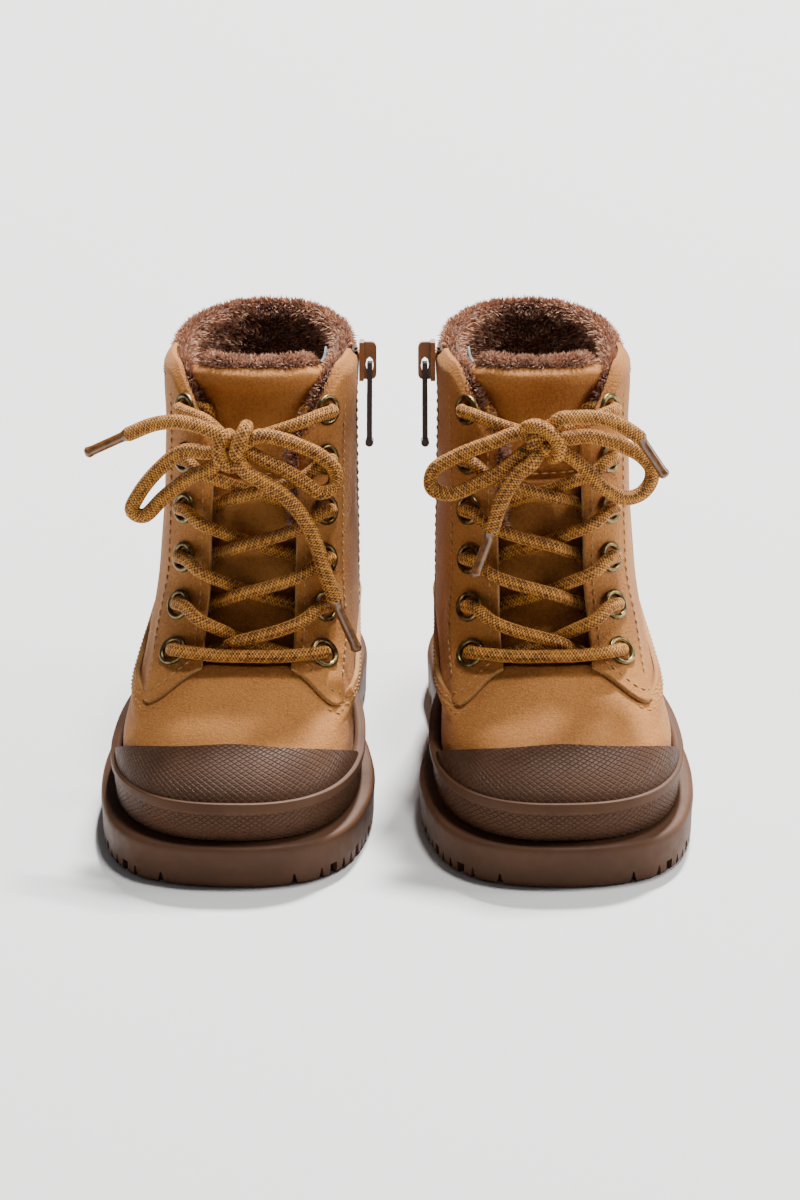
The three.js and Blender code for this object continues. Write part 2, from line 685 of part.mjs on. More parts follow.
const laces = {
  lace_lateral: () => laceHalf(-1, true),
  lace_medial: () => laceHalf(1, false),
  bow_knot: knot,
  bow_loop_lateral: (bow) => loop(bow.loop_lateral),
  bow_loop_medial: (bow) => loop(bow.loop_medial),
  lace_end_lateral: (bow) => laceEnd(bow.end_lateral),
  lace_end_medial: (bow) => laceEnd(bow.end_medial),
  aglet_lateral: (bow) => aglet(bow.end_lateral),
  aglet_medial: (bow) => aglet(bow.end_medial),
};

// ---- the two boots ----
const NUBUCK = { color: 0xc08a4c, roughness: 0.85, metalness: 0 };
const SOLE_RUBBER = { color: 0x7b543b, roughness: 0.6, metalness: 0 };
const PILE_CLOTH = { color: 0x8d6354, roughness: 1, metalness: 0 };
const LACE_CORD = { color: 0xb07a30, roughness: 0.8, metalness: 0 };
const BRASS = { color: 0x7d6a41, roughness: 0.35, metalness: 1 };
const ENAMEL = { color: 0x9a6a3a, roughness: 0.4, metalness: 0.2 };
const DARK_PLASTIC = { color: 0x3a2418, roughness: 0.45, metalness: 0 };
const AGLET_FILM = { color: 0x8a5a2c, roughness: 0.2, metalness: 0 };
const BOARD_FIBRE = { color: 0xcbb89a, roughness: 0.95, metalness: 0 };
const TAPE_CLOTH = { color: 0x6d4a30, roughness: 0.9, metalness: 0 };

const pieces = {
  outsole: [outsole, SOLE_RUBBER],
  rand: [() => band(0.06, 2.1, WRAP_GAP + RUBBER, WRAP_GAP, 44, 2), SOLE_RUBBER],
  toe_cap: [toeCap, SOLE_RUBBER],
  vamp: [vamp, NUBUCK],
  heel_counter: [heelCounter, NUBUCK],
  lateral_quarter: [lateralQuarter, NUBUCK],
  medial_quarter: [medialQuarter, NUBUCK],
  rear_medial_quarter: [rearMedialQuarter, NUBUCK],
  lateral_eyelets: [() => eyeletStrip(-1), BRASS],
  medial_eyelets: [() => eyeletStrip(1), BRASS],
  lining: [lining, PILE_CLOTH],
  tongue: [tongue, NUBUCK],
  tongue_lining: [tongueLining, PILE_CLOTH],
  insole_board: [insoleBoard, BOARD_FIBRE],
  footbed: [footbed, PILE_CLOTH],
  zip_chain: [zipTape, TAPE_CLOTH],
  zip_slider: [zipSlider, ENAMEL],
  zip_pull: [zipPull, DARK_PLASTIC],
};

// Puts a boot's geometry in the pair's frame; the left boot is mirrored.
function placed(geometry, mirror) {
  const bare = geometry.clone();
  bare.deleteAttribute("normal");
  bare.deleteAttribute("uv");
  const result = mergeVertices(bare, 1e-4);
  const place = result.attributes.position;
  const [c, s] = [Math.cos(TOE_OUT), Math.sin(TOE_OUT)];
  for (let i = 0; i < place.count; i++) {
    const [x, y, z] = [place.getX(i), place.getY(i) - SOLE_LENGTH / 2, place.getZ(i)];
    place.setXYZ(i, (mirror ? -1 : 1) * (x * c + y * s - BOOT_X), y * c - x * s, z);
  }
  if (mirror) {
    const index = result.index.array;
    for (let i = 0; i < index.length; i += 3) {
      [index[i + 1], index[i + 2]] = [index[i + 2], index[i + 1]];
    }
  }
  return result;
}

const pair = new THREE.Group();

function add(name, geometry, finish, mirror) {
  const mesh = new THREE.Mesh(placed(geometry, mirror), new THREE.MeshStandardMaterial(finish));
  mesh.name = name;
  pair.add(mesh);
}

for (const boot of ["right", "left"]) {
  const mirror = boot === "left";
  for (const [name, [make, finish]] of Object.entries(pieces)) {
    add(`${boot}_${name}`, make(), finish, mirror);
  }
  for (const [name, make] of Object.entries(laces)) {
    add(`${boot}_${name}`, make(BOWS[boot]), name.startsWith("aglet") ? AGLET_FILM : LACE_CORD, mirror);
  }
}

export default pair;
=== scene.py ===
"""A pair of children's pile-lined lace-up boots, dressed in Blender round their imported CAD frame.

Lengths are in millimetres in each boot's own frame, and become metres when a piece is placed: x grows
towards the inner (medial) side, d is the distance behind the tip of the toe, and z is the height. The left
boot is the right one mirrored. A place on the upper is a level, which grows up the boot, and a girth, which
is measured round the boot from its front line.
"""

import math

import bpy
import numpy as np
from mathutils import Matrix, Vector


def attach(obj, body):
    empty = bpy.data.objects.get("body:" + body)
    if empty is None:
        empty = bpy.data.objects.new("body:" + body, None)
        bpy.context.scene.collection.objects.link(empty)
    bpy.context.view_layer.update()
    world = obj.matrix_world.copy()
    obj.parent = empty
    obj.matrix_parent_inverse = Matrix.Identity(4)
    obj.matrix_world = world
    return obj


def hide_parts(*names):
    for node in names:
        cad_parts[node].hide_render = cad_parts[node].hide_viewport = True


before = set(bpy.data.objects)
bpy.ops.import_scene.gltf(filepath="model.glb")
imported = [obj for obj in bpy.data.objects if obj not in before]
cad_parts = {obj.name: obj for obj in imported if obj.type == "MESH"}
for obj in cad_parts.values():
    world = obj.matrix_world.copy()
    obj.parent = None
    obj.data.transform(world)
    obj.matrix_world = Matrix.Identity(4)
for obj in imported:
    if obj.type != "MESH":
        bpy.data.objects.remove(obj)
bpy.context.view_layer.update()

MM = 0.001
BOOTS = ("right", "left")


def linked(name, data):
    """A new object in the scene."""
    thing = bpy.data.objects.new(name, data)
    bpy.context.collection.objects.link(thing)
    return thing


# ---- camera ----
VIEW_ELEVATION = math.radians(22.3)
VIEW_DISTANCE = 1569
VIEW_HEIGHT = 56.4

camera_data = bpy.data.cameras.new("camera")
camera_data.lens = 147
camera_data.sensor_width = 36
camera_data.shift_x = 0.0023
camera = linked("camera", camera_data)
camera.location = (
    0,
    -VIEW_DISTANCE * MM * math.cos(VIEW_ELEVATION),
    (VIEW_HEIGHT + VIEW_DISTANCE * math.sin(VIEW_ELEVATION)) * MM,
)
camera.rotation_euler = (math.pi / 2 - VIEW_ELEVATION, 0, 0)
bpy.context.scene.camera = camera

# ---- the shape of the upper, as in the CAD model ----
SOLE_LENGTH = 192
SOLE_TOP = 13.5
SOLE_RISE = 0.015
BOOT_X = 48.5
TOE_OUT = math.radians(2)
LEATHER = 1.6
GAP = 0.35
FIRST_ROW = 7
LAST_ROW = 12
COLLAR = 12.85
EYELET_GIRTH = 24.6
FACING_EDGE = 14
LACE_OUT = 4.3
LACE_IN = -6
TONGUE_OUT = -8.9
ZIP_TAPE_HALF = 4.2
ZIP_LOW = 6.42
ZIP_LOW_D = 111
ZIP_HIGH_D = 128
WING_END = 102
COUNTER_TOP = 6.5

# front d, front z, rear d, rear z, half width, d of the widest place, front and rear roundness
LEVELS = np.array([
    [8.5, 14, 182, 16.6, 35.3, 60, 2.6, 2.5],
    [6.5, 19.5, 184, 21.5, 36, 60, 2.6, 2.5],
    [7, 25, 185, 26.5, 36.2, 60, 2.6, 2.5],
    [10.5, 30, 185.3, 31.5, 36, 60, 2.6, 2.5],
    [16.5, 34, 185, 36, 35.5, 61, 2.55, 2.5],
    [25, 37.5, 184.5, 40.5, 34.9, 65, 2.5, 2.45],
    [39.5, 43.5, 184, 45.5, 34, 75, 2.4, 2.4],
    [53.5, 52.5, 182.5, 51.5, 32.9, 90, 2.4, 2.35],
    [62, 65, 180.5, 64, 31.8, 102, 2.4, 2.3],
    [69, 78.5, 179, 77.5, 31.1, 110, 2.45, 2.25],
    [75.5, 92.5, 178.5, 91.5, 30.7, 116, 2.5, 2.2],
    [81.2, 107.5, 179, 105.5, 30.4, 120, 2.5, 2.2],
    [85.8, 122.5, 180, 119, 30.3, 123, 2.5, 2.2],
    [89, 137, 181, 132, 30.3, 126, 2.5, 2.2],
    [91, 151, 182, 145, 30.3, 129, 2.5, 2.2],
])
WAIST = 0.15
WAIST_D = 113
WAIST_REACH = 30
LEAN = 4.2
SECTION_STEPS = 120
TABLE_STEP = 0.05
TABLE_TOP = 14


def ease(value, low, high):
    t = np.clip((value - low) / (high - low), 0, 1)
    return t * t * (3 - 2 * t)


def lerp(a, b, t):
    return a + (b - a) * t


def unit(vectors):
    return vectors / np.linalg.norm(vectors, axis=-1, keepdims=True)


def lengths(line):
    """The length along a line of points up to each of them."""
    return np.concatenate([[0], np.cumsum(np.linalg.norm(np.diff(line, axis=0), axis=1))])


def along_line(line, run, wanted):
    """What a line holds at the wanted lengths, where run is its length up to each point."""
    return np.stack([np.interp(wanted, run, column) for column in np.transpose(line)], axis=-1)


def level_at(level):
    last = len(LEVELS) - 1
    i = min(max(int(math.floor(level)), 0), last - 1)
    t = level - i
    a = 2 * LEVELS[0] - LEVELS[1] if i == 0 else LEVELS[i - 1]
    b, c, e = LEVELS[i], LEVELS[i + 1], LEVELS[min(i + 2, last)]
    return 0.5 * (2 * b + (c - a) * t + (2 * a - 5 * b + 4 * c - e) * t * t + (3 * b - a - 3 * c + e) * t**3)


def section(level):
    """Half of a closed section through the boot: x, d, z and the girth from the front."""
    front_d, front_z, rear_d, rear_z, half, wide_d, front_n, rear_n = level_at(level)
    wide = (wide_d - front_d) / (rear_d - front_d)
    waist = WAIST * min(max((7 - level) / 4, 0), 1)
    angle = np.linspace(0, math.pi, SECTION_STEPS + 1)
    front = angle <= math.pi / 2 + 1e-9
    power = 2 / np.where(front, front_n, rear_n)
    along = np.abs(np.cos(angle)) ** power
    out = np.clip(np.sin(angle), 0, 1) ** power
    chord = np.where(front, wide * (1 - along), wide + (1 - wide) * along)
    d = front_d + chord * (rear_d - front_d)
    z = front_z + chord * (rear_z - front_z)
    x = half * out * (1 - waist * np.exp(-(((d - WAIST_D) / WAIST_REACH) ** 2)))
    x[-1] = 0
    return np.stack([x, d, z, lengths(np.stack([x, d, z], axis=1))])


TABLE = [section(k * TABLE_STEP) for k in range(int(TABLE_TOP / TABLE_STEP) + 1)]
TOTALS = np.array([rows[3, -1] for rows in TABLE])


def half_girth(level):
    return np.interp(level, np.arange(len(TABLE)) * TABLE_STEP, TOTALS)


def face_point(level, girth):
    """Points of the upper's outer face, for arrays of levels and signed girths."""
    level, girth = np.broadcast_arrays(np.asarray(level, float), np.asarray(girth, float))
    shape = level.shape
    level = np.clip(level.ravel(), 0, TABLE_TOP - 1e-6)
    girth = girth.ravel()
    row = (level / TABLE_STEP).astype(int)
    share = level / TABLE_STEP - row
    points = np.zeros((level.size, 3))
    for k in np.unique(row):
        here = row == k
        for index, weight in ((k, 1 - share[here]), (k + 1, share[here])):
            run = TABLE[index][3]
            total = run[-1]
            wrapped = (girth[here] + total) % (2 * total) - total
            found = along_line(TABLE[index][:3].T, run, np.abs(wrapped))
            found[:, 0] *= np.sign(wrapped)
            points[here] += found * weight[:, None]
    points[:, 0] += LEAN * ease(level, 3, 9)
    return points.reshape(shape + (3,))


def face_normal(level, girth):
    up = face_point(np.add(level, 0.08), girth) - face_point(np.subtract(level, 0.08), girth)
    round_ = face_point(level, np.add(girth, 1.2)) - face_point(level, np.subtract(girth, 1.2))
    return unit(np.cross(round_, up))


def sole_top(d):
    return SOLE_TOP + SOLE_RISE * d


def at(level, girth, offset=0.0):
    """Points at a distance outside (positive) or inside the upper's outer face, never in the sole."""
    points = face_point(level, girth) + face_normal(level, girth) * np.asarray(offset, float)[..., None]
    points[..., 2] = np.maximum(points[..., 2], sole_top(points[..., 1]) + GAP)
    return points


def vamp_top(girth):
    reach = np.abs(girth)
    front = 7 - 1.25 * ease(reach, 11, 36)
    return np.where(reach < 36, front, 5.75 + 0.75 * ease(reach, 36, 105))


def quarter_top(girth):
    return COLLAR - 1.5 * (1 - ease(np.abs(girth), FACING_EDGE - 6, FACING_EDGE + 22))


def _zip_girth(level):
    """The girth at which the zip's line, which leans back as it rises, crosses a level."""
    wanted = lerp(ZIP_LOW_D, ZIP_HIGH_D, (level - ZIP_LOW) / (COLLAR - ZIP_LOW))
    low, high = 30.0, float(half_girth(level)) - 20
    for _ in range(30):
        middle = (low + high) / 2
        low, high = (middle, high) if face_point(level, middle)[1] < wanted else (low, middle)
    return (low + high) / 2


ZIP_LEVELS = np.linspace(5.6, 13.2, 60)
ZIP_GIRTHS = np.array([_zip_girth(level) for level in ZIP_LEVELS])


def zip_girth(level):
    return np.interp(level, ZIP_LEVELS, ZIP_GIRTHS)


# ---- placing and building ----
def placed(points, boot):
    """Points of a boot's own frame, in millimetres, as points of the pair's frame, in metres."""
    points = np.asarray(points, float)
    c, s = math.cos(TOE_OUT), math.sin(TOE_OUT)
    x, y = points[..., 0], points[..., 1] - SOLE_LENGTH / 2
    world_x = x * c + y * s - BOOT_X
    if boot == "left":
        world_x = -world_x
    return np.stack([world_x, y * c - x * s, points[..., 2]], axis=-1) * MM


def build(name, boot, points, faces, looks, uvs=None, slots=None, node=None):
    """A mesh piece from points of a boot's frame.

    Looks are names in LOOKS, which the piece's material slots take in order.
    The piece stands for the CAD node of its own name, or for the one given. The left boot's faces are turned
    over.
    """
    mesh = bpy.data.meshes.new(f"{boot}_{name}")
    if boot == "left":
        faces = [face[::-1] for face in faces]
    mesh.from_pydata(placed(points, boot).reshape(-1, 3).tolist(), [], faces)
    for look in looks:
        mesh.materials.append(LOOKS[look])
    if uvs is not None:
        layer = mesh.uv_layers.new(name="UVMap")
        index = np.zeros(len(mesh.loops), dtype=int)
        mesh.loops.foreach_get("vertex_index", index)
        layer.data.foreach_set("uv", np.asarray(uvs, float).reshape(-1, 2)[index].ravel())
    if slots is not None:
        mesh.polygons.foreach_set("material_index", np.asarray(slots, dtype=np.int32))
    mesh.polygons.foreach_set("use_smooth", np.ones(len(mesh.polygons), dtype=bool))
    mesh.update()
    piece = linked(f"{boot}_{name}_look", mesh)
    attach(piece, f"{boot}_boot")
    stands_for = f"{boot}_{node or name}"
    if stands_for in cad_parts:
        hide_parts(stands_for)
    return piece


def outward(points, faces):
    """The faces in an order that makes the closed mesh's volume positive."""
    p = np.asarray(points, float).reshape(-1, 3)
    volume = sum(np.dot(p[f[0]], np.cross(p[f[k]], p[f[k + 1]])) for f in faces for k in range(1, len(f) - 1))
    return faces if volume > 0 else [face[::-1] for face in faces]


def quads(grid):
    """The faces between neighbours in a grid of vertex numbers."""
    corners = [grid[:-1, :-1], grid[:-1, 1:], grid[1:, 1:], grid[1:, :-1]]
    return np.stack(corners, axis=-1).reshape(-1, 4).tolist()


def closed(grid):
    """The grid with its first column again at the end."""
    return np.column_stack([grid, grid[:, 0]])


def numbered(rows, columns, start=0):
    return start + np.arange(rows * columns).reshape(rows, columns)


def slab_faces(outer, inner, ring):
    """Faces of two grids of vertex numbers joined along their edges, and which of them are edge faces."""
    if ring:
        outer, inner = closed(outer), closed(inner)
    sheets = quads(outer) + quads(inner[::-1])
    edges = quads(np.stack([inner[0], outer[0]])) + quads(np.stack([outer[-1], inner[-1]]))
    if not ring:
        edges += quads(np.stack([outer[:, 0], inner[:, 0]])) + quads(np.stack([inner[:, -1], outer[:, -1]]))
    return sheets + edges, [0] * len(sheets) + [1] * len(edges)


def bevel(piece, width, angle=40):
    rounding = piece.modifiers.new("rounding", "BEVEL")
    rounding.width = width * MM
    rounding.segments = 2
    rounding.limit_method = "ANGLE"
    rounding.angle_limit = math.radians(angle)


def panel(name, boot, where, outer, inner, across, along, looks, edge=0.0, ring=False, node=None):
    """A curved sheet on the upper. where(a, b) gives levels and girths; outer and inner are offsets."""
    a = np.linspace(0, 1, across + 1)
    a, b = np.meshgrid(a[:-1] if ring else a, np.linspace(0, 1, along + 1))
    level, girth = where(a, b)
    layers = [at(level, girth, offset(level, girth) if callable(offset) else offset)
              for offset in (outer, inner)]
    points = np.stack(layers).reshape(-1, 3)
    faces, slots = slab_faces(numbered(*level.shape), numbered(*level.shape, level.size), ring)
    steps = np.linalg.norm(np.diff(layers[0], axis=0), axis=2)
    rise = np.cumsum(np.vstack([np.zeros(level.shape[1]), steps]), axis=0)
    uvs = np.tile(np.stack([girth, rise], axis=-1).reshape(-1, 2), (2, 1))
    slots = slots if len(looks) > 1 else None
    piece = build(name, boot, points, outward(points, faces), looks, uvs, slots, node)
    if edge:
        bevel(piece, edge)
    return piece


def smooth_curve(points, steps):
    """A centripetal Catmull-Rom curve through the points, with steps points for each stretch."""
    points = np.asarray(points, float)
    ends = [2 * points[0] - points[1], *points, 2 * points[-1] - points[-2]]
    found = []
    for i in range(1, len(ends) - 2):
        p = ends[i - 1:i + 3]
        knots = [0.0]
        for k in range(3):
            knots.append(knots[-1] + max(np.linalg.norm(p[k + 1] - p[k]), 1e-6) ** 0.5)
        last = i == len(ends) - 3
        for t in np.linspace(knots[1], knots[2], steps + 1)[: None if last else -1]:
            a = [lerp(p[k], p[k + 1], (t - knots[k]) / (knots[k + 1] - knots[k])) for k in range(3)]
            b = [lerp(a[k], a[k + 1], (t - knots[k]) / (knots[k + 2] - knots[k])) for k in range(2)]
            found.append(lerp(b[0], b[1], (t - knots[1]) / (knots[2] - knots[1])))
    return np.array(found)


def resample(curve, spacing):
    run = lengths(curve)
    count = max(int(round(run[-1] / spacing)), 2)
    return along_line(curve, run, np.linspace(0, run[-1], count + 1))


def circles(curve, sides):
    """A unit circle square to the curve at each point, which turns as little as it can, and the tangents."""
    tangents = unit(np.gradient(curve, axis=0))
    normal = np.cross(tangents[0], [0.31, 0.2, 0.93])
    normals = []
    for tangent in tangents:
        normal = unit(normal - tangent * np.dot(normal, tangent))
        normals.append(normal)
    normals = np.array(normals)
    angle = np.linspace(0, 2 * math.pi, sides + 1)[None, :, None]
    return np.cos(angle) * normals[:, None] + np.sin(angle) * np.cross(tangents, normals)[:, None], tangents


DOME = 0.6  # the height of a tube's domed end, as a share of its radius


def tube(name, boot, curve, radius, look, sides=18, ends=2, node=None):
    """A round tube along a curve, with domed ends. Its UVs are a share round and a length."""
    rings, tangents = circles(curve, sides)
    last = len(curve) - 1
    swell = np.arange(1, ends + 1) / (ends + 1) * math.pi / 2
    turn = np.concatenate([-swell[::-1], np.zeros(last + 1), swell])[:, None, None]
    place = np.concatenate([np.zeros(ends, int), np.arange(last + 1), np.full(ends, last)])
    radius = np.broadcast_to(np.asarray(radius, float), last + 1)[place, None, None]
    centres, ahead = curve[place, None], tangents[place, None] * radius * DOME
    points = (centres + rings[place] * radius * np.cos(turn) + ahead * np.sin(turn)).reshape(-1, 3)
    tips = [centres[0, 0] - ahead[0, 0], centres[-1, 0] + ahead[-1, 0]]
    run = lengths(curve)
    run = np.concatenate([-0.5 * np.arange(ends, 0, -1), run, run[-1] + 0.5 * np.arange(1, ends + 1)])
    uvs = np.stack(np.meshgrid(np.linspace(0, 1, sides + 1), run), axis=-1).reshape(-1, 2)
    tip_uvs = [[0.5, -1], [0.5, run[-1] - 0.5 * ends + 1]]
    grid = numbered(len(place), sides + 1)
    faces = quads(grid)
    faces += [(grid[0, i + 1], grid[0, i], len(points)) for i in range(sides)]
    faces += [(grid[-1, i], grid[-1, i + 1], len(points) + 1) for i in range(sides)]
    return build(name, boot, np.vstack([points, tips]), faces, [look], np.vstack([uvs, tip_uvs]), node=node)


STITCH = 2.1
STITCH_PITCH = 2.9
STITCH_SINK = 0.28
THREAD = 0.3


def stitches(name, boot, levels, girths, offset):
    """A row of short thread stitches on the upper, along a line of levels and girths."""
    levels, girths = np.broadcast_arrays(np.asarray(levels, float), np.asarray(girths, float))
    line, normals = at(levels, girths, offset), face_normal(levels, girths)
    run = lengths(line)
    sides, rings = 6, 5
    turn = (2 * math.pi * np.arange(sides) / sides)[:, None]
    share = np.linspace(-1, 1, rings)[:, None, None]
    swell = THREAD * np.sqrt(np.maximum(1 - share**2 * 0.95, 0.04))
    points, faces = [], []
    for k in range(int(run[-1] / STITCH_PITCH)):
        span = (k + 0.1) * STITCH_PITCH + np.linspace(0, STITCH, rings)
        centre = along_line(line, run, span)
        normal = along_line(normals, run, span[rings // 2])
        aside = np.cross(normal, unit(centre[-1] - centre[0]))
        circle = aside * np.cos(turn) + normal * np.sin(turn)
        points.append(centre[:, None] + circle * swell - normal * STITCH_SINK * share**2)
        grid = numbered(rings, sides, k * rings * sides)
        faces += quads(closed(grid)[::-1]) + [grid[0].tolist(), grid[-1, ::-1].tolist()]
    build(name, boot, np.array(points), faces, ["thread"])


# ---- materials ----
def fill(node, inputs):
    """Sets a node's inputs, or links them where the value comes from another node."""
    for key, value in inputs.items():
        value = getattr(value, "socket", value)
        if isinstance(value, bpy.types.NodeSocket):
            node.id_data.links.new(value, node.inputs[key])
        else:
            node.inputs[key].default_value = value


def add(tree, kind, inputs=None, **settings):
    node = tree.nodes.new(kind)
    for key, value in settings.items():
        setattr(node, key, value)
    fill(node, inputs or {})
    return node


class Value:
    """A number in a material's node tree, which can be used in sums."""

    def __init__(self, socket):
        self.socket = socket

    def take(self, operation, other=0.0):
        inputs = {0: self, 1: other}
        return Value(add(self.socket.id_data, "ShaderNodeMath", inputs, operation=operation).outputs[0])

    def __add__(self, other):
        return self.take("ADD", other)

    def __sub__(self, other):
        return self.take("SUBTRACT", other)

    def __mul__(self, other):
        return self.take("MULTIPLY", other)

    def __abs__(self):
        return self.take("ABSOLUTE")


def principled(name, colour, roughness, metallic=0.0):
    """A new material, with its node tree and its main shader."""
    material = bpy.data.materials.new(name)
    material.use_nodes = True
    tree = material.node_tree
    shader = tree.nodes["Principled BSDF"]
    fill(shader, {"Base Color": (*colour, 1), "Roughness": roughness, "Metallic": metallic})
    return material, tree, shader


def ramp(tree, value, stops):
    node = add(tree, "ShaderNodeValToRGB", {0: value})
    elements = node.color_ramp.elements
    while len(elements) < len(stops):
        elements.new(0.5)
    for element, (place, colour) in zip(elements, stops):
        element.position = place
        element.color = (*colour, 1)
    return node.outputs[0]


def spots(tree, scale, detail=3.0, roughness=0.55):
    """Noise in the piece's own space, with scale in features per millimetre."""
    space = add(tree, "ShaderNodeTexCoord").outputs["Object"]
    noise = {"Vector": space, "Scale": scale / MM, "Detail": detail, "Roughness": roughness}
    return Value(add(tree, "ShaderNodeTexNoise", noise).outputs[0])


def uv_values(tree):
    uv = add(tree, "ShaderNodeSeparateXYZ", {0: add(tree, "ShaderNodeUVMap").outputs[0]})
    return Value(uv.outputs[0]), Value(uv.outputs[1])


def bump(tree, height, depth, strength, under=None):
    """The normal of a relief that is depth millimetres deep, over the one under it."""
    inputs = {"Height": height, "Distance": depth * MM, "Strength": strength}
    if under is not None:
        inputs["Normal"] = under
    return add(tree, "ShaderNodeBump", inputs).outputs[0]


def nubuck(name, pale, deep, sheen):
    """Nubuck: a short nap that shades in soft patches, over a fine even grain."""
    material, tree, shader = principled(name, pale, 0.78)
    tone = spots(tree, 0.035, 4.0) * 0.42 + spots(tree, 1.4, 2.0, 0.7) * 0.58
    grain = bump(tree, spots(tree, 1.3, 2.0, 0.6), 0.42, 0.85)
    fill(shader, {
        "Base Color": ramp(tree, tone, [(0.4, deep), (0.6, pale)]),
        "Normal": bump(tree, spots(tree, 0.16, 3.0), 0.5, 0.35, grain),
        "Sheen Weight": sheen, "Sheen Roughness": 0.5, "Specular IOR Level": 0.3})
    return material


def rubber(name, colour, pattern=None):
    """Moulded rubber, smooth or with a raised diamond texture that follows the piece's UVs in millimetres."""
    material, tree, shader = principled(name, colour, 0.55)
    deep, pale = ([share * v for v in colour] for share in (0.86, 1.12))
    normal = bump(tree, spots(tree, 2.2, 2.0), 0.05, 0.4)
    if pattern:
        pitch_u, pitch_v, depth = pattern
        u, v = uv_values(tree)
        u, v = u * (math.pi / pitch_u), v * (math.pi / pitch_v)
        diamonds = abs((u + v).take("SINE")).take("MINIMUM", abs((u - v).take("SINE")))
        normal = bump(tree, diamonds.take("MINIMUM", 0.6), depth, 0.9, normal)
    fill(shader, {
        "Base Color": ramp(tree, spots(tree, 0.05, 5.0), [(0.35, deep), (0.65, pale)]),
        "Roughness": ramp(tree, spots(tree, 0.3, 4.0), [(0.3, (0.5,) * 3), (0.7, (0.64,) * 3)]),
        "Normal": normal, "Specular IOR Level": 0.22})
    return material


def braid(name):
    """A round braided lace: slanting gold strands with dark ones between, in columns along the cord, with
    painted shade in the dips between strands and painted light on their crests.
    """
    material, tree, shader = principled(name, (0.5, 0.26, 0.07), 0.62)
    u, v = uv_values(tree)
    columns = u * 16.0
    column = columns.take("FLOOR")
    fold = abs(columns.take("FRACT") - 0.5)
    run = v * 1.05 + fold * 0.9 + column * 0.5
    hump = (run.take("FRACT") * math.pi).take("SINE")
    every_other = (run.take("FLOOR") * 0.5).take("FRACT")
    rib = (fold * 2.0 * math.pi).take("SINE")
    jitter = spots(tree, 0.5, 2.0) * 0.75 - 0.1
    # The hump term paints shade where each strand dips under the next and light on its crest; every_other and
    # the column term are the lace's own two tones.
    tone = hump * 0.7 + every_other * -0.3 + jitter + (column * 0.37).take("FRACT") * 0.24
    stops = [(0.36, (0.018, 0.006, 0.001)), (0.68, (0.19, 0.062, 0.006)), (1.02, (0.8, 0.34, 0.055))]
    fill(shader, {"Base Color": ramp(tree, tone, stops), "Normal": bump(tree, hump + rib * 0.6, 0.36, 0.9),
                  "Specular IOR Level": 0.3})
    return material


def plush(name, root, tip):
    """Plush fibres: dark at the root and paler at the tip, which the UVs' second number gives. The dark root
    is painted shade deep in the pile.
    """
    material, tree, shader = principled(name, tip, 0.9)
    # Darkening towards the root paints the shade that falls deep in the pile.
    tone = uv_values(tree)[1] * 0.75 + (spots(tree, 0.18, 3.0) - 0.5) * 0.9
    middle = [(a + b) / 2 for a, b in zip(root, tip)]
    fill(shader, {"Base Color": ramp(tree, tone, [(0.0, root), (0.45, middle), (0.95, tip)]),
                  "Sheen Weight": 0.3, "Sheen Roughness": 0.4, "Specular IOR Level": 0.15})
    return material


def mottled(name, deep, pale, roughness, scale=0.4, depth=0.08, metallic=0.0, coat=0.0):
    """A plain finish with a little uneven colour and a fine bump."""
    material, tree, shader = principled(name, pale, roughness, metallic)
    fill(shader, {"Base Color": ramp(tree, spots(tree, scale, 4.0), [(0.36, deep), (0.64, pale)]),
                  "Normal": bump(tree, spots(tree, scale * 3, 3.0), depth, 0.5), "Coat Weight": coat})
    return material


def woven(name, deep, pale, pitch=0.55):
    """A plain weave that follows the piece's UVs in millimetres."""
    material, tree, shader = principled(name, pale, 0.85)
    warp, weft = ((value * (math.pi / pitch)).take("SINE") for value in uv_values(tree))
    weave = abs(warp * weft)
    # The weave term paints shade between the threads' crossings and light on them; the noise is the yarn's
    # own uneven tone.
    tone = weave * 0.6 + spots(tree, 0.8, 2.0) * 0.5
    fill(shader, {"Base Color": ramp(tree, tone, [(0.2, deep), (0.75, pale)]),
                  "Normal": bump(tree, weave, 0.15, 0.7)})
    return material


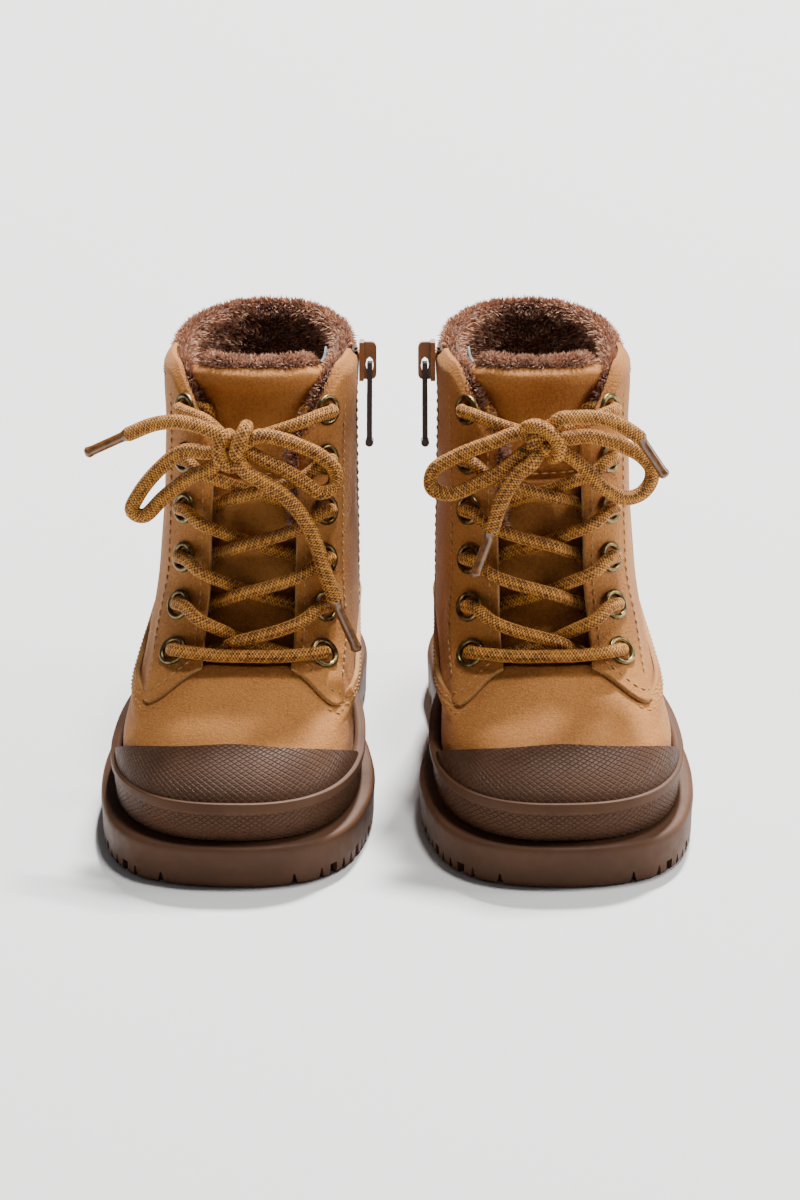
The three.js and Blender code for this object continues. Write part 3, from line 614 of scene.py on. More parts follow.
# name, the record's slot that its pieces take their finish from, maker and what the maker needs
FINISHES = [
    ("nubuck", "nubuck", nubuck, (0.46, 0.186, 0.038), (0.31, 0.112, 0.019), 0.06),
    ("suede_edge", None, nubuck, (0.48, 0.26, 0.085), (0.34, 0.17, 0.05), 0.1),
    ("rubber", "sole_rubber", rubber, (0.09, 0.039, 0.018)),
    ("rubber_cap", "sole_rubber", rubber, (0.078, 0.032, 0.014), (2.4, 1.85, 0.5)),
    ("rubber_rand", "sole_rubber", rubber, (0.078, 0.032, 0.014), (2.3, 1.8, 0.5)),
    ("lace", "lace", braid),
    ("plush", "pile", plush, (0.15, 0.07, 0.045), (0.78, 0.45, 0.3)),
    ("cloth", "pile", mottled, (0.1, 0.043, 0.027), (0.17, 0.075, 0.048), 0.95, 0.3, 0.3),
    ("thread", "lace", mottled, (0.34, 0.17, 0.05), (0.52, 0.29, 0.1), 0.7, 1.0, 0.05),
    ("brass", "eyelet_brass", mottled, (0.06, 0.045, 0.02), (0.24, 0.18, 0.08), 0.34, 0.5, 0.05, 1.0),
    ("enamel", None, mottled, (0.25, 0.085, 0.018), (0.33, 0.12, 0.026), 0.3, 0.2, 0.02, 0.0, 0.5),
    ("pull", None, mottled, (0.03, 0.012, 0.007), (0.05, 0.02, 0.011), 0.4, 0.3, 0.03),
    ("film", "aglet_film", mottled, (0.11, 0.04, 0.01), (0.21, 0.085, 0.022), 0.28, 0.5, 0.03, 0.0, 0.6),
    # The teeth look also darkens the discs across the eyelets' bores, as painted shade.
    ("teeth", "zip_tape", mottled, (0.03, 0.015, 0.009), (0.07, 0.032, 0.018), 0.45, 0.6, 0.03),
    ("tape", "zip_tape", woven, (0.04, 0.02, 0.012), (0.11, 0.06, 0.03)),
    ("label", "lace", woven, (0.07, 0.075, 0.08), (0.3, 0.31, 0.31), 0.4),
    ("board", None, mottled, (0.42, 0.33, 0.22), (0.55, 0.45, 0.32), 0.95),
]
LOOKS = {name: make(name, *values) for name, _, make, *values in FINISHES}
LEATHER_LOOKS = ["nubuck", "suede_edge"]

# ---- laces: the same routes as the CAD model's ----
LACE_RADIUS = 2.05
BOW_RADIUS = 2.35
AGLET_RADIUS = 1.6
BOWS = {
    "right": {
        "knot": (11.45, -5.3, 8.5),
        "loop_lateral": [
            (11.3, -13.3, 8), (11.32, -21.7, 6.5), (10.92, -30, 3.5), (10.4, -36.5, 1.5), (10.12, -38.2, 0.8),
            (10.02, -34.6, 0.8), (10.4, -28, 2.5), (10.8, -19.5, 5.5), (11, -13, 7.5)],
        "loop_medial": [
            (11.66, 2.4, 9), (11.62, 7.5, 8.4), (11.46, 14.5, 6.2), (11.25, 21, 4), (10.95, 25.4, 1.8),
            (10.66, 25, 1.2), (10.52, 20.8, 3.4), (10.72, 15.8, 6), (10.96, 10, 7.4), (11.16, 3.4, 8.4)],
        "end_lateral": [
            (11.75, -12.5, 11), (11.93, -21.7, 9.5), (11.88, -30.5, 7), (11.64, -39.4, 5), (11.26, -52, 3.5)],
        "end_medial": [
            (11, -3, 11.5), (10.7, 4, 10.8), (10.45, 10, 9), (10.02, 15.8, 7.2), (9.56, 19.6, 5.4),
            (8.94, 22.6, 3.4), (8.35, 26, 0.4), (7.42, 33.5, -6)],
    },
    "left": {
        "knot": (11.56, -0.7, 8.5),
        "loop_medial": [
            (11.72, 7.2, 8.5), (11.56, 14.2, 7.5), (11.26, 26, 4), (10.95, 33.6, 2), (10.62, 34, 1.5),
            (10.5, 28.5, 2.2), (10.7, 20, 4.6), (11, 11.5, 7.2), (11.26, 6.6, 8)],
        "loop_lateral": [
            (11.6, -8.6, 8.5), (11.64, -14, 8), (11.55, -20.5, 6.8), (11.38, -27, 5), (11.18, -32, 3.4),
            (10.95, -34.8, 2), (10.7, -34.6, 1), (10.47, -31.7, 0.6), (10.38, -27.3, 1), (10.47, -22.6, 2.8),
            (10.7, -17.6, 5.4), (11, -13.2, 7), (11.25, -8.4, 8)],
        "end_lateral": [
            (12.02, -5.2, 11.5), (12.06, -10.5, 11.6), (12.06, -15.5, 11.2), (11.98, -21, 10.6),
            (11.82, -26, 9.8), (11.6, -30.6, 9), (10.84, -38.4, 6.6)],
        "end_medial": [
            (11.1, 3.4, 12), (10.9, 7.4, 11), (10.38, 12.4, 9), (9.72, 16, 7), (8.86, 21, 4)],
    },
}


def front(place):
    """A point before the facings: a level, x, and height over the boot's front line."""
    level, x, height = place
    return at(level, 0.0, height) + np.array([x, 0, 0])


def turn_in(row, side):
    girth = side * EYELET_GIRTH
    middle = (LACE_OUT + LACE_IN) / 2
    return [at(row, girth - side * 5, LACE_OUT), at(row, girth - side * 0.5, LACE_OUT - 1.2),
            at(row, girth + side * 0.8, middle), at(row, girth - side * 0.5, LACE_IN + 1.2),
            at(row, girth - side * 5, LACE_IN)]


OVER = [(0.34, 9, -3.4), (0.42, 4.5, 0.75), (0.5, 0, 2.1), (0.66, -9, 3.2)]
UNDER = [(0.34, 9, -5.5), (0.5, 0, -4.4), (0.58, -4.5, -3.8), (0.68, -9.5, -0.2)]


def rung(row, side, over):
    across = OVER if over else UNDER
    return ([at(row + 0.2, side * (FACING_EDGE + 2), LACE_IN)]
            + [at(row + rise, side * girth, offset) for rise, girth, offset in across]
            + [at(row + 0.8, -side * (FACING_EDGE + 1), LACE_OUT - 0.1)])


def lace_half(boot, side, leads):
    """Half of a lace, from the middle of the lowest bar up to the knot."""
    points = [at(FIRST_ROW + 0.08, 0.0, 2.9), at(FIRST_ROW + 0.06, side * 9, 3.1)]
    for row in range(FIRST_ROW, LAST_ROW - 1):
        points += turn_in(row, side)
        points += rung(row, side, leads if (row - FIRST_ROW) % 2 == 0 else not leads)
        side = -side
    points += turn_in(LAST_ROW - 1, side)
    points.append(at(LAST_ROW - 0.5, side * (EYELET_GIRTH - 3.5), LACE_IN - 0.3))
    points += turn_in(LAST_ROW, side)[::-1]
    knot = BOWS[boot]["knot"]
    points.append(at(LAST_ROW - 0.12, side * 12.5, LACE_OUT + 1.4))
    points.append(front((knot[0] + 0.1, knot[1] + side * 3, knot[2] - 2.2)))
    return points


def free_cord(name, boot, route):
    """A slack part of the lace, which leaves the knot."""
    curve = resample(smooth_curve(route, 8), 0.8)
    piece = tube(name, boot, curve, BOW_RADIUS, "lace")
    world = placed(curve, boot)


def aglet(name, boot, start, tip):
    """A wrapped tip that grips the lace, tapers a little, and flares where it is cut."""
    share = np.linspace(0, 1, 25)
    curve = start + (tip - start) * share[:, None]
    radius = AGLET_RADIUS * (1 + 0.42 * np.exp(-((share / 0.09) ** 2)) + 0.16 * ease(share, 0.86, 1))
    return tube(name, boot, curve, radius, "film", ends=1)


# The turns of lace that show on the front of each knot, as x, z and height from its middle. x grows towards
# the right boot's medial side, and the left boot's lateral side.
KNOTS = {
    "right": {
        "upper": [(2.4, 4.4, -3), (3.3, 6, 0.6), (2.7, 4.6, 3.9), (1.3, 1, 4.9), (0.2, -2, 3.9),
                  (0, -2.8, 0)],
        "lower": [(-2, 3.2, -1), (-3.2, 2.6, 2.2), (-5.1, -0.6, 3.2), (-4.4, -4.2, 3), (-1.8, -6.2, 1.6),
                  (0, -6, -1.5)],
        "under": [(4.8, 2, -1.5), (3.6, 1.2, 0.6), (0.6, -1.2, 1.5), (-1.6, -3, 1), (-4.4, -3.6, -1.5)],
    },
    "left": {
        "upper": [(-6.2, 2.4, -2), (-5.2, 4.2, 1.4), (-2.8, 4.9, 3.4), (0.2, 3.7, 4.8), (3, 1.2, 5),
                  (4.5, -1.6, 4.2), (4, -4.4, 2.8), (2.2, -5.2, -0.6)],
        "lower": [(4.6, 4, -2), (2.6, 4.8, 0.6), (-0.6, 2.6, 1.8), (-3, 0, 2.2), (-3.4, -2.8, 0.4)],
        "under": [(-4.8, -1.8, -1.5), (-2, -2.4, 1), (1.4, -2.6, 1.6), (3.4, -1, -0.5)],
    },
}


def knot(boot):
    place = BOWS[boot]["knot"]
    out = face_normal(place[0], 0.0)
    side = np.array([1.0, 0, 0])
    up = np.cross(side, out)
    up *= np.sign(up[2])
    if boot == "left":
        side = -side
    for name, turn in KNOTS[boot].items():
        route = [front(place) + side * x + up * z + out * y for x, z, y in turn]
        curve = resample(smooth_curve(route, 8), 0.5)
        node = "bow_knot" if name == "upper" else None
        tube(f"bow_knot_{name}", boot, curve, BOW_RADIUS * 0.98, "lace", node=node)


def lacing(boot):
    bow = BOWS[boot]
    heart = front(bow["knot"])
    for side, name, leads in ((-1, "lace_lateral", True), (1, "lace_medial", False)):
        tube(name, boot, resample(smooth_curve(lace_half(boot, side, leads), 8), 0.9), LACE_RADIUS, "lace")
    for name in ("lateral", "medial"):
        points = [front(place) for place in bow[f"loop_{name}"]]
        route = [lerp(points[0], heart, 0.75), *points, lerp(points[-1], heart, 0.75)]
        free_cord(f"bow_loop_{name}", boot, route)
        points = [front(place) for place in bow[f"end_{name}"]]
        tag = aglet(f"aglet_{name}", boot, points[-2], points[-1])
        free_cord(f"lace_end_{name}", boot, [lerp(points[0], heart, 0.85), *points[:-1]])
    knot(boot)


# ---- the sole ----
# The edge of the outsole's flange, as x and d, from the tip of the toe round the medial side.
SOLE_EDGE = [
    (0, 0), (14.5, 1.4), (27, 6.5), (36, 17), (41, 33), (43, 54), (40.5, 76), (36.3, 97), (35, 115),
    (36, 138), (36.3, 156), (31.5, 175), (19, 188), (0, 192), (-19, 188), (-31.5, 175), (-37, 156),
    (-37.3, 135), (-37.5, 115), (-39.5, 95), (-42.5, 74), (-43.2, 54), (-41.3, 33), (-36.5, 17),
    (-28, 6.5), (-15, 1.4)]
LUG_DEPTH = 4.2
LUG_GAP = 3.0
LUG_REACH = 9
LUG_SPACING = 14.5
TOE_LUG = 21
CHANNEL = 3.4
NOTCH = (4.2, 7, 7.6)
EDGE_STEPS = 24


def sole_outline(count):
    """Evenly spaced points round the flange's edge, their outward normals, and the whole length."""
    ring = [(x, d, 0) for x, d in SOLE_EDGE]
    curve = smooth_curve(ring[-3:] + ring + ring[:3], EDGE_STEPS)[3 * EDGE_STEPS:-2 * EDGE_STEPS]
    run = lengths(curve)
    points = along_line(curve[:, :2], run, np.linspace(0, run[-1], count + 1)[:-1])
    along = unit(np.roll(points, -1, axis=0) - np.roll(points, 1, axis=0))
    normal = np.stack([along[:, 1], -along[:, 0]], axis=1)
    if np.sum(normal[:, 0] * points[:, 0]) < 0:
        normal = -normal
    return points, normal, run[-1]


# inset from the flange's edge, and height under its top, or over the ground
SOLE_PROFILE_TOP = [(16, -0.2), (8, 0), (4.2, 0), (2.0, -0.02), (1.0, -0.2), (0.35, -0.65), (0.05, -1.4),
                    (0, -2.4)]
SOLE_PROFILE_LOW = [(0.25, 8.6), (0.35, 5.2), (0.4, 2), (0.55, 0.8), (1.0, 0.22), (1.7, 0)]


def sole_body(boot):
    count = 360
    points, normal, _ = sole_outline(count)
    rings = []
    for inset, drop in SOLE_PROFILE_TOP:
        spot = points - normal * inset
        rings.append(np.column_stack([spot, sole_top(spot[:, 1]) + drop]))
    for inset, height in SOLE_PROFILE_LOW:
        rings.append(np.column_stack([points - normal * inset, np.full(count, float(height))]))
    grid = numbered(len(rings), count)
    faces = quads(closed(grid)) + [grid[0, ::-1].tolist(), grid[-1].tolist()]
    vertices = np.concatenate(rings)
    return build("outsole", boot, vertices, outward(vertices, faces), ["rubber"])


BOX_CORNERS = np.array([(x, y, z) for x in (-1, 1) for y in (-1, 1) for z in (-1, 1)])
BOX_FACES = np.array([(0, 1, 3, 2), (4, 6, 7, 5), (0, 4, 5, 1), (2, 3, 7, 6), (0, 2, 6, 4), (1, 5, 7, 3)])


def box(size, turn, centre, crest=1.0):
    """The corners of a box turned about the vertical, whose top can be narrower than its foot."""
    x, y, z = (BOX_CORNERS * np.array(size) / 2).T
    x = np.where(z > 0, x * crest, x)
    c, s = math.cos(turn), math.sin(turn)
    return np.stack([x * c - y * s, x * s + y * c, z], axis=1) + centre


def cutters(boot):
    """The notches between the lugs round the edge, and the channels across the tread, as one object."""
    shapes = []
    points, normal, whole = sole_outline(720)
    count = round((whole - 2 * TOE_LUG) / LUG_SPACING)
    for i in range(count + 1):
        place = TOE_LUG + (whole - 2 * TOE_LUG) * i / count
        k = int(place / whole * len(points)) % len(points)
        turn = math.atan2(normal[k, 1], normal[k, 0]) + math.pi / 2
        spot = np.array([*points[k], 0])
        beside_toe_lug = i in (0, count)
        if not beside_toe_lug:
            shapes.append(box((LUG_GAP, 2 * LUG_REACH, 2 * LUG_DEPTH - 0.6 * (i % 2)), turn, spot))
        for aside in (0,) if beside_toe_lug else (-5, 5):
            shift = np.array([math.cos(turn), math.sin(turn), 0]) * aside
            shapes.append(box(NOTCH, turn, spot + shift, 0.1))
    for d in np.arange(24, SOLE_LENGTH - 12, 2 * LUG_SPACING):
        for side in (-1, 1):
            shapes.append(box((26, CHANNEL, 2 * LUG_DEPTH), side * 0.5, (side * 10.5, d, 0)))
    sides = BOX_FACES[:, ::-1] if boot == "left" else BOX_FACES
    faces = [side for n in range(len(shapes)) for side in (sides + len(BOX_CORNERS) * n).tolist()]
    mesh = bpy.data.meshes.new("notches")
    mesh.from_pydata(placed(np.concatenate(shapes), boot).tolist(), [], faces)
    return linked("notches", mesh)


def outsole(boot):
    piece, tool = sole_body(boot), cutters(boot)
    notch = piece.modifiers.new("notches", "BOOLEAN")
    notch.operation = "DIFFERENCE"
    notch.solver = "EXACT"
    notch.use_self = True
    notch.object = tool
    bpy.context.view_layer.update()
    shape = piece.evaluated_get(bpy.context.evaluated_depsgraph_get())
    mesh = bpy.data.meshes.new_from_object(shape)
    piece.modifiers.clear()
    piece.data = mesh
    bpy.data.objects.remove(tool)
    mesh.set_sharp_from_angle(angle=math.radians(38))


# ---- rubber round the foot ----
RUBBER = 2.3  # thicknesses of the rand and of the cap
CAP = 1.5
WRAP_GAP = 0.8  # between the vamp and the rubber
RAND_TOP = 2.15  # the level of the rand's upper edge


def rand_outer(level, _girth):
    """The rand stands out as a plain rounded band along its upper edge."""
    band = 0.75 * ease(level, RAND_TOP - 0.52, RAND_TOP - 0.44)
    foot = 0.4 * np.exp(-((level / 0.2) ** 2))
    curl = 1.6 * ease(level, RAND_TOP - 0.13, RAND_TOP) ** 2
    return WRAP_GAP + RUBBER + band + foot - curl


def all_round(low, high):
    """Places all round the boot between two levels."""
    def where(a, b):
        level = lerp(low, high, b)
        return level, (2 * a - 1) * half_girth(level)

    return where


def rand(boot):
    panel("rand", boot, all_round(0.06, RAND_TOP - 0.45), rand_outer, WRAP_GAP - 0.5, 300, 30,
          ["rubber_rand"], ring=True)
    panel("rand_band", boot, all_round(RAND_TOP - 0.56, RAND_TOP), lambda l, g: rand_outer(l, g) + 0.02,
          WRAP_GAP - 0.4, 300, 24, ["rubber"], ring=True)


def toe_cap(boot):
    def where(a, b):
        share = 2 * a - 1
        b = 1 - (1 - b) ** 1.3
        level = 4.78 - 2.33 * np.abs(share) ** 1.72
        return lerp(RAND_TOP - 0.15, level, b), lerp(60 * share, 56 * share, b)

    panel("toe_cap", boot, where, 1.1 + CAP, 0.4, 150, 60, ["rubber_cap", "rubber"], 0.55)


# ---- leather ----
LIFT = 1.65  # how far the upper of two lapped leathers stands off


def crumple(level, girth, size):
    """A slow unevenness of the leather, in millimetres."""
    return size * np.sin(level * 2.3 + girth * 0.11) * np.cos(girth * 0.17 - level * 1.1)


def vamp_lift(level, girth):
    """The vamp's wings lie on top of the quarters."""
    top = vamp_top(girth)
    return LIFT * ease(np.abs(girth), 33, 44) * ease(level, top - 1.1, top - 0.25)


def vamp(boot):
    def where(a, b):
        girth = (2 * a - 1) * (WING_END + 1)
        top = vamp_top(girth) + 0.12 * ease(np.abs(girth), 36, 46) - 0.06 * (np.abs(girth) < 30)
        return lerp(0.06, top, b), girth

    panel("vamp", boot, where, lambda l, g: vamp_lift(l, g) + crumple(l, g, 0.12),
          lambda l, g: vamp_lift(l, g) - LEATHER, 170, 60, LEATHER_LOOKS, 0.3)


def heel_counter(boot):
    def where(a, b):
        level = lerp(0.06, COUNTER_TOP + 0.12, b)
        return level, lerp(WING_END - 1.5, 2 * half_girth(level) - WING_END + 1.5, a)

    def lift(level):
        return LIFT * ease(level, COUNTER_TOP - 1.1, COUNTER_TOP - 0.25)

    panel("heel_counter", boot, where, lambda l, g: lift(l) + 0.75, lambda l, g: lift(l) - 0.6, 90, 50,
          LEATHER_LOOKS, 0.3)


def tab_lift(level, girth):
    """The foot of each facing lies on top of the vamp."""
    reach = np.abs(girth)
    return LIFT * (1 - ease(reach, 33, 42)) * (1 - ease(level, 7.3, 8.8))


def quarter_low(girth):
    reach = np.abs(girth)
    tab = vamp_top(reach) - 0.16
    tucked = np.where(reach < 105, vamp_top(reach), COUNTER_TOP) - 0.3
    return lerp(tab, tucked, ease(reach, 36, 42))


def quarter(name, boot, side, start, stop, across):
    def top_edge(girth):
        return quarter_top(girth) - 0.24 * ease(np.abs(girth), 44, 80)

    def where(a, b):
        level = lerp(FIRST_ROW, COLLAR, b)
        for _ in range(5):
            girth = lerp(start(level), stop(level), a)
            level = lerp(quarter_low(girth), top_edge(girth), b)
        return level, side * girth

    def roll(level, girth):
        fold = 2.0 * (1 - ease(top_edge(girth) - level, 0, 0.3)) ** 2
        if start is facing_edge:
            edge = np.abs(girth) - FACING_EDGE
            fold = fold + 1.2 * (1 - ease(edge, 0, 2.6)) ** 2 * ease(level, 9.5, 11.5)
        pad = 0.55 * ease(level, 11.2, 12.2) * (1 - ease(level, 12.5, 13))
        return tab_lift(level, girth) - fold + pad

    piece = panel(name, boot, where, lambda l, g: roll(l, g) + crumple(l, g, 0.18),
                  lambda l, g: roll(l, g) - LEATHER, across, 90, LEATHER_LOOKS, 0.3)
    # The edge is turned under near the collar, and cut and bare below.
    turned = at(11.1, FACING_EDGE)[2] * MM
    for face in piece.data.polygons:
        if face.center.z > turned:
            face.material_index = 0


def facing_edge(_level):
    return FACING_EDGE


def rear_seam(level):
    return half_girth(level) - GAP / 2


def quarters(boot):
    quarter("lateral_quarter", boot, -1, facing_edge, rear_seam, 130)
    quarter("medial_quarter", boot, 1, facing_edge, lambda level: zip_girth(level) - ZIP_TAPE_HALF, 80)
    quarter("rear_medial_quarter", boot, 1, lambda level: zip_girth(level) + ZIP_TAPE_HALF, rear_seam, 70)


TONGUE_TOP = 13.0
TONGUE_SEAM = 10.78


def tongue_top(girth):
    return TONGUE_TOP - 0.1 * ease(np.abs(girth), 18, 30)


def tongue(boot):
    def where(a, b):
        half = lerp(22, 33.5, ease(b, 0, 1)) - 2.5 * ease(b, 0.95, 1) ** 2
        girth = (2 * a - 1) * half
        return lerp(6.62, tongue_top(girth), b), girth

    def outer(level, girth):
        top = tongue_top(girth) - level
        roll = 2.4 * np.exp(-(((top - 0.28) / 0.32) ** 2)) - 3.2 * (1 - ease(top, 0, 0.26)) ** 2
        sides = 1.7 * ease(np.abs(girth), 16, 30) * (1 - ease(level, 11.4, 12.8))
        seam = 0.8 * np.exp(-(((level - TONGUE_SEAM) / 0.07) ** 2))
        soft = 0.5 * np.sin(level * 5.1) * np.exp(-((girth / 14) ** 2)) * (level < 11.6)
        return TONGUE_OUT + 1.2 + roll - sides - seam + soft

    piece = panel("tongue", boot, where, outer, lambda l, g: np.minimum(outer(l, g) - 1.2, TONGUE_OUT - 0.6),
                  60, 130, ["nubuck"], 0.5)
    stitches("tongue_stitch", boot, TONGUE_SEAM + 0.08, np.linspace(-19, 19, 20), TONGUE_OUT + 1.75)


# ---- plush ----
LINING_OUT = -3.2
LINING_IN = -6.6


def from_front(level, girth):
    """The girth from the front line, the nearer way round."""
    return np.minimum(girth, 2 * half_girth(level) - girth)


def lining(boot):
    """The plush tube inside the boot, thin behind the facings where the laces run."""
    def where(a, b):
        level = lerp(6.2, COLLAR - 0.05, b)
        edge = FACING_EDGE + 1.5
        girth = lerp(edge, 2 * half_girth(level) - edge, a)
        top = quarter_top(from_front(level, girth)) - 0.05
        return np.minimum(level, lerp(6.2, top, b)), girth

    def inner(level, girth):
        return lerp(-2.6, LINING_IN, ease(from_front(level, girth), 29, 38))

    panel("lining", boot, where, lambda l, g: inner(l, g) + 0.9, inner, 120, 40, ["cloth"])
    panel("lining_foot", boot, all_round(0.5, 6.3), LINING_OUT, LINING_IN, 120, 30, ["cloth"], ring=True)


def tufts(name, boot, roots, normals, drift, count, long, wide, seed):
    """Plush: short curved blades that stand on a surface given as grids of roots and normals."""
    chance = np.random.RandomState(seed)
    rows, columns = roots.shape[:2]
    j, i = chance.rand(count) * (rows - 1), chance.rand(count) * (columns - 1)
    j0, i0 = j.astype(int), i.astype(int)
    u, v = (j - j0)[:, None], (i - i0)[:, None]
    near, far = (lerp(roots[j0, i], roots[j0 + 1, i], u) for i in (i0, i0 + 1))
    root = lerp(near, far, v)
    normal = normals[j0, i0]
    x, y, z = (root * 0.85).T
    sway = np.stack([np.sin(x + 1.7 * np.sin(y * 0.8)) * np.cos(z * 1.1), np.cos(y * 1.2 + 1.3 * np.sin(z)),
                     np.sin(z * 0.9 + 1.9 * np.sin(x * 0.7))], axis=1)
    lean = unit(normal * 0.85 + sway * 0.5 + np.asarray(drift) + chance.normal(0, 0.24, (count, 3)))
    size = long * (0.55 + 0.6 * chance.rand(count, 1))
    bend = size * chance.normal((0, 0, -0.12), (0.18, 0.18, 0.12), (count, 3))
    aside = wide / 2 * unit(np.cross(lean, chance.normal(0, 1, (count, 3))))
    points, uvs = np.empty((count, 7, 3)), np.empty((count, 7, 2))
    for k, (share, width) in enumerate(((0, 0.6), (0.45, 1.0), (0.8, 0.65))):
        centre = root - normal * 0.3 + lean * size * share + bend * share**2
        points[:, 2 * k], points[:, 2 * k + 1] = centre - aside * width, centre + aside * width
        uvs[:, 2 * k], uvs[:, 2 * k + 1] = (0, share), (1, share)
    points[:, 6], uvs[:, 6] = root + lean * size + bend, (0.5, 1)
    blade = [(0, 1, 3, 2), (2, 3, 5, 4), (4, 5, 6)]
    faces = [[base + corner for corner in face] for base in range(0, 7 * count, 7) for face in blade]
    build(name, boot, points, faces, ["plush"], uvs)


def wall_tufts(name, boot, level, girth, offset, *tuft):
    """Plush that points into the boot from a wall at an offset from the upper's face."""
    tufts(name, boot, at(level, girth, offset), -face_normal(level, girth), *tuft)


def tufted_roll(name, boot, curve, radius, sides, tuft_name, *tuft):
    """A soft roll along a curve, with plush all over it."""
    tube(name, boot, curve, radius, "cloth", sides)
    rings, _ = circles(curve, 16)
    roots = curve[:, None] + rings * np.broadcast_to(radius, len(curve))[:, None, None]
    tufts(tuft_name, boot, roots, rings, *tuft)


def collar_route():
    """Round the top line, from low on one facing to low on the other: levels, girths and roll radii."""
    rise = np.linspace(9.8, 11.2, 8)
    span = np.linspace(FACING_EDGE + 1.5, half_girth(COLLAR), 30)
    back = ease(span, 30, 60)
    levels = np.concatenate([rise, quarter_top(span) - 0.12 - 0.1 * back])
    girths = np.concatenate([np.full(len(rise), FACING_EDGE + 0.4), span])
    radii = np.concatenate([lerp(1.2, 2.4, ease(rise, 9.8, 11.0)), lerp(2.4, 2.5, back)])
    other = slice(-2, None, -1)
    girths = np.concatenate([girths, 2 * half_girth(COLLAR) - girths[other]])
    return np.concatenate([levels, levels[other]]), girths, np.concatenate([radii, radii[other]])


def collar(boot):
    levels, girths, radii = collar_route()
    reach = from_front(COLLAR, girths)
    corner = ease(reach, 16, 26) * (1 - ease(reach, 48, 80))
    curve = smooth_curve(at(levels - 0.1 * corner, girths, -1.5 - radii - 1.3 * corner), 5)
    radius = np.interp(np.linspace(0, len(radii) - 1, len(curve)), np.arange(len(radii)), radii)
    tufted_roll("collar_roll", boot, curve, radius, 16, "collar_plush", (0, 0, 0.15), 34000, 2.2, 0.42, 11)
    level, share = np.meshgrid(np.linspace(10.4, COLLAR - 0.2, 14), np.linspace(0, 1, 70), indexing="ij")
    girth = lerp(32, 2 * half_girth(level) - 32, share)
    wall_tufts("inner_plush", boot, level, girth, LINING_IN + 0.3, (0, 0, 0.1), 14000, 2.4, 0.5, 12)


def tongue_plush(boot):
    top = TONGUE_TOP - 0.05
    girths = np.linspace(-31, 31, 34)
    curve = smooth_curve(at(tongue_top(girths) - 0.02, girths, TONGUE_OUT - 1.9), 3)
    tufted_roll("tongue_roll", boot, curve, 2.1, 14, "tongue_top_plush", (0, 0.25, 0.2), 7000, 2.1, 0.42, 13)

    def where(a, b):
        return lerp(6.7, top, b), (2 * a - 1) * lerp(21, 29, b)

    panel("tongue_lining", boot, where, TONGUE_OUT - 2.6, TONGUE_OUT - 5.6, 30, 40, ["cloth"], 0.8)
    level, girth = np.meshgrid(np.linspace(11, top, 14), np.linspace(-26, 26, 24), indexing="ij")
    wall_tufts("tongue_back_plush", boot, level, girth, TONGUE_OUT - 5.5, (0, 0, 0.2), 5000, 2.3, 0.5, 14)


# ---- eyelets, stitches, zip ----
# a rim's half section: distance from the eyelet's axis, and height over the leather
RIM = np.array([(3.15, -0.6), (3.2, 0.5), (3.45, 1.05), (3.95, 1.25), (4.5, 1.1), (4.85, 0.7), (4.9, 0.1)])


def eyelets(boot):
    for side, name in ((-1, "lateral_eyelets"), (1, "medial_eyelets")):
        eyelet_rims(boot, side * EYELET_GIRTH, name)


def eyelet_rims(boot, girth, name):
    """Six rolled brass rims, each closed across its bore by a dark disc, painted shade in the hole that the
    lace goes through.
    """
    points, faces, slots = [], [], []
    sides = 40
    turn = (2 * math.pi * np.arange(sides) / sides)[:, None]
    for row in range(FIRST_ROW, LAST_ROW + 1):
        centre = at(row, girth, tab_lift(row, girth) + 0.1)
        normal = face_normal(row, girth)
        u = unit(np.cross(normal, [0, 0, 1.0]))
        circle = u * np.cos(turn) + np.cross(normal, u) * np.sin(turn)
        points.append(centre + circle * RIM[:, 0, None, None] + normal * RIM[:, 1, None, None])
        grid = numbered(len(RIM), sides, (len(points) - 1) * len(RIM) * sides)
        rim = quads(closed(grid))
        # The disc across the bore takes the dark teeth look: painted shade in the hole.
        faces += [*rim, grid[0].tolist()]
        slots += [0] * len(rim) + [1]
    build(name, boot, np.array(points), faces, ["brass", "teeth"], slots=slots)


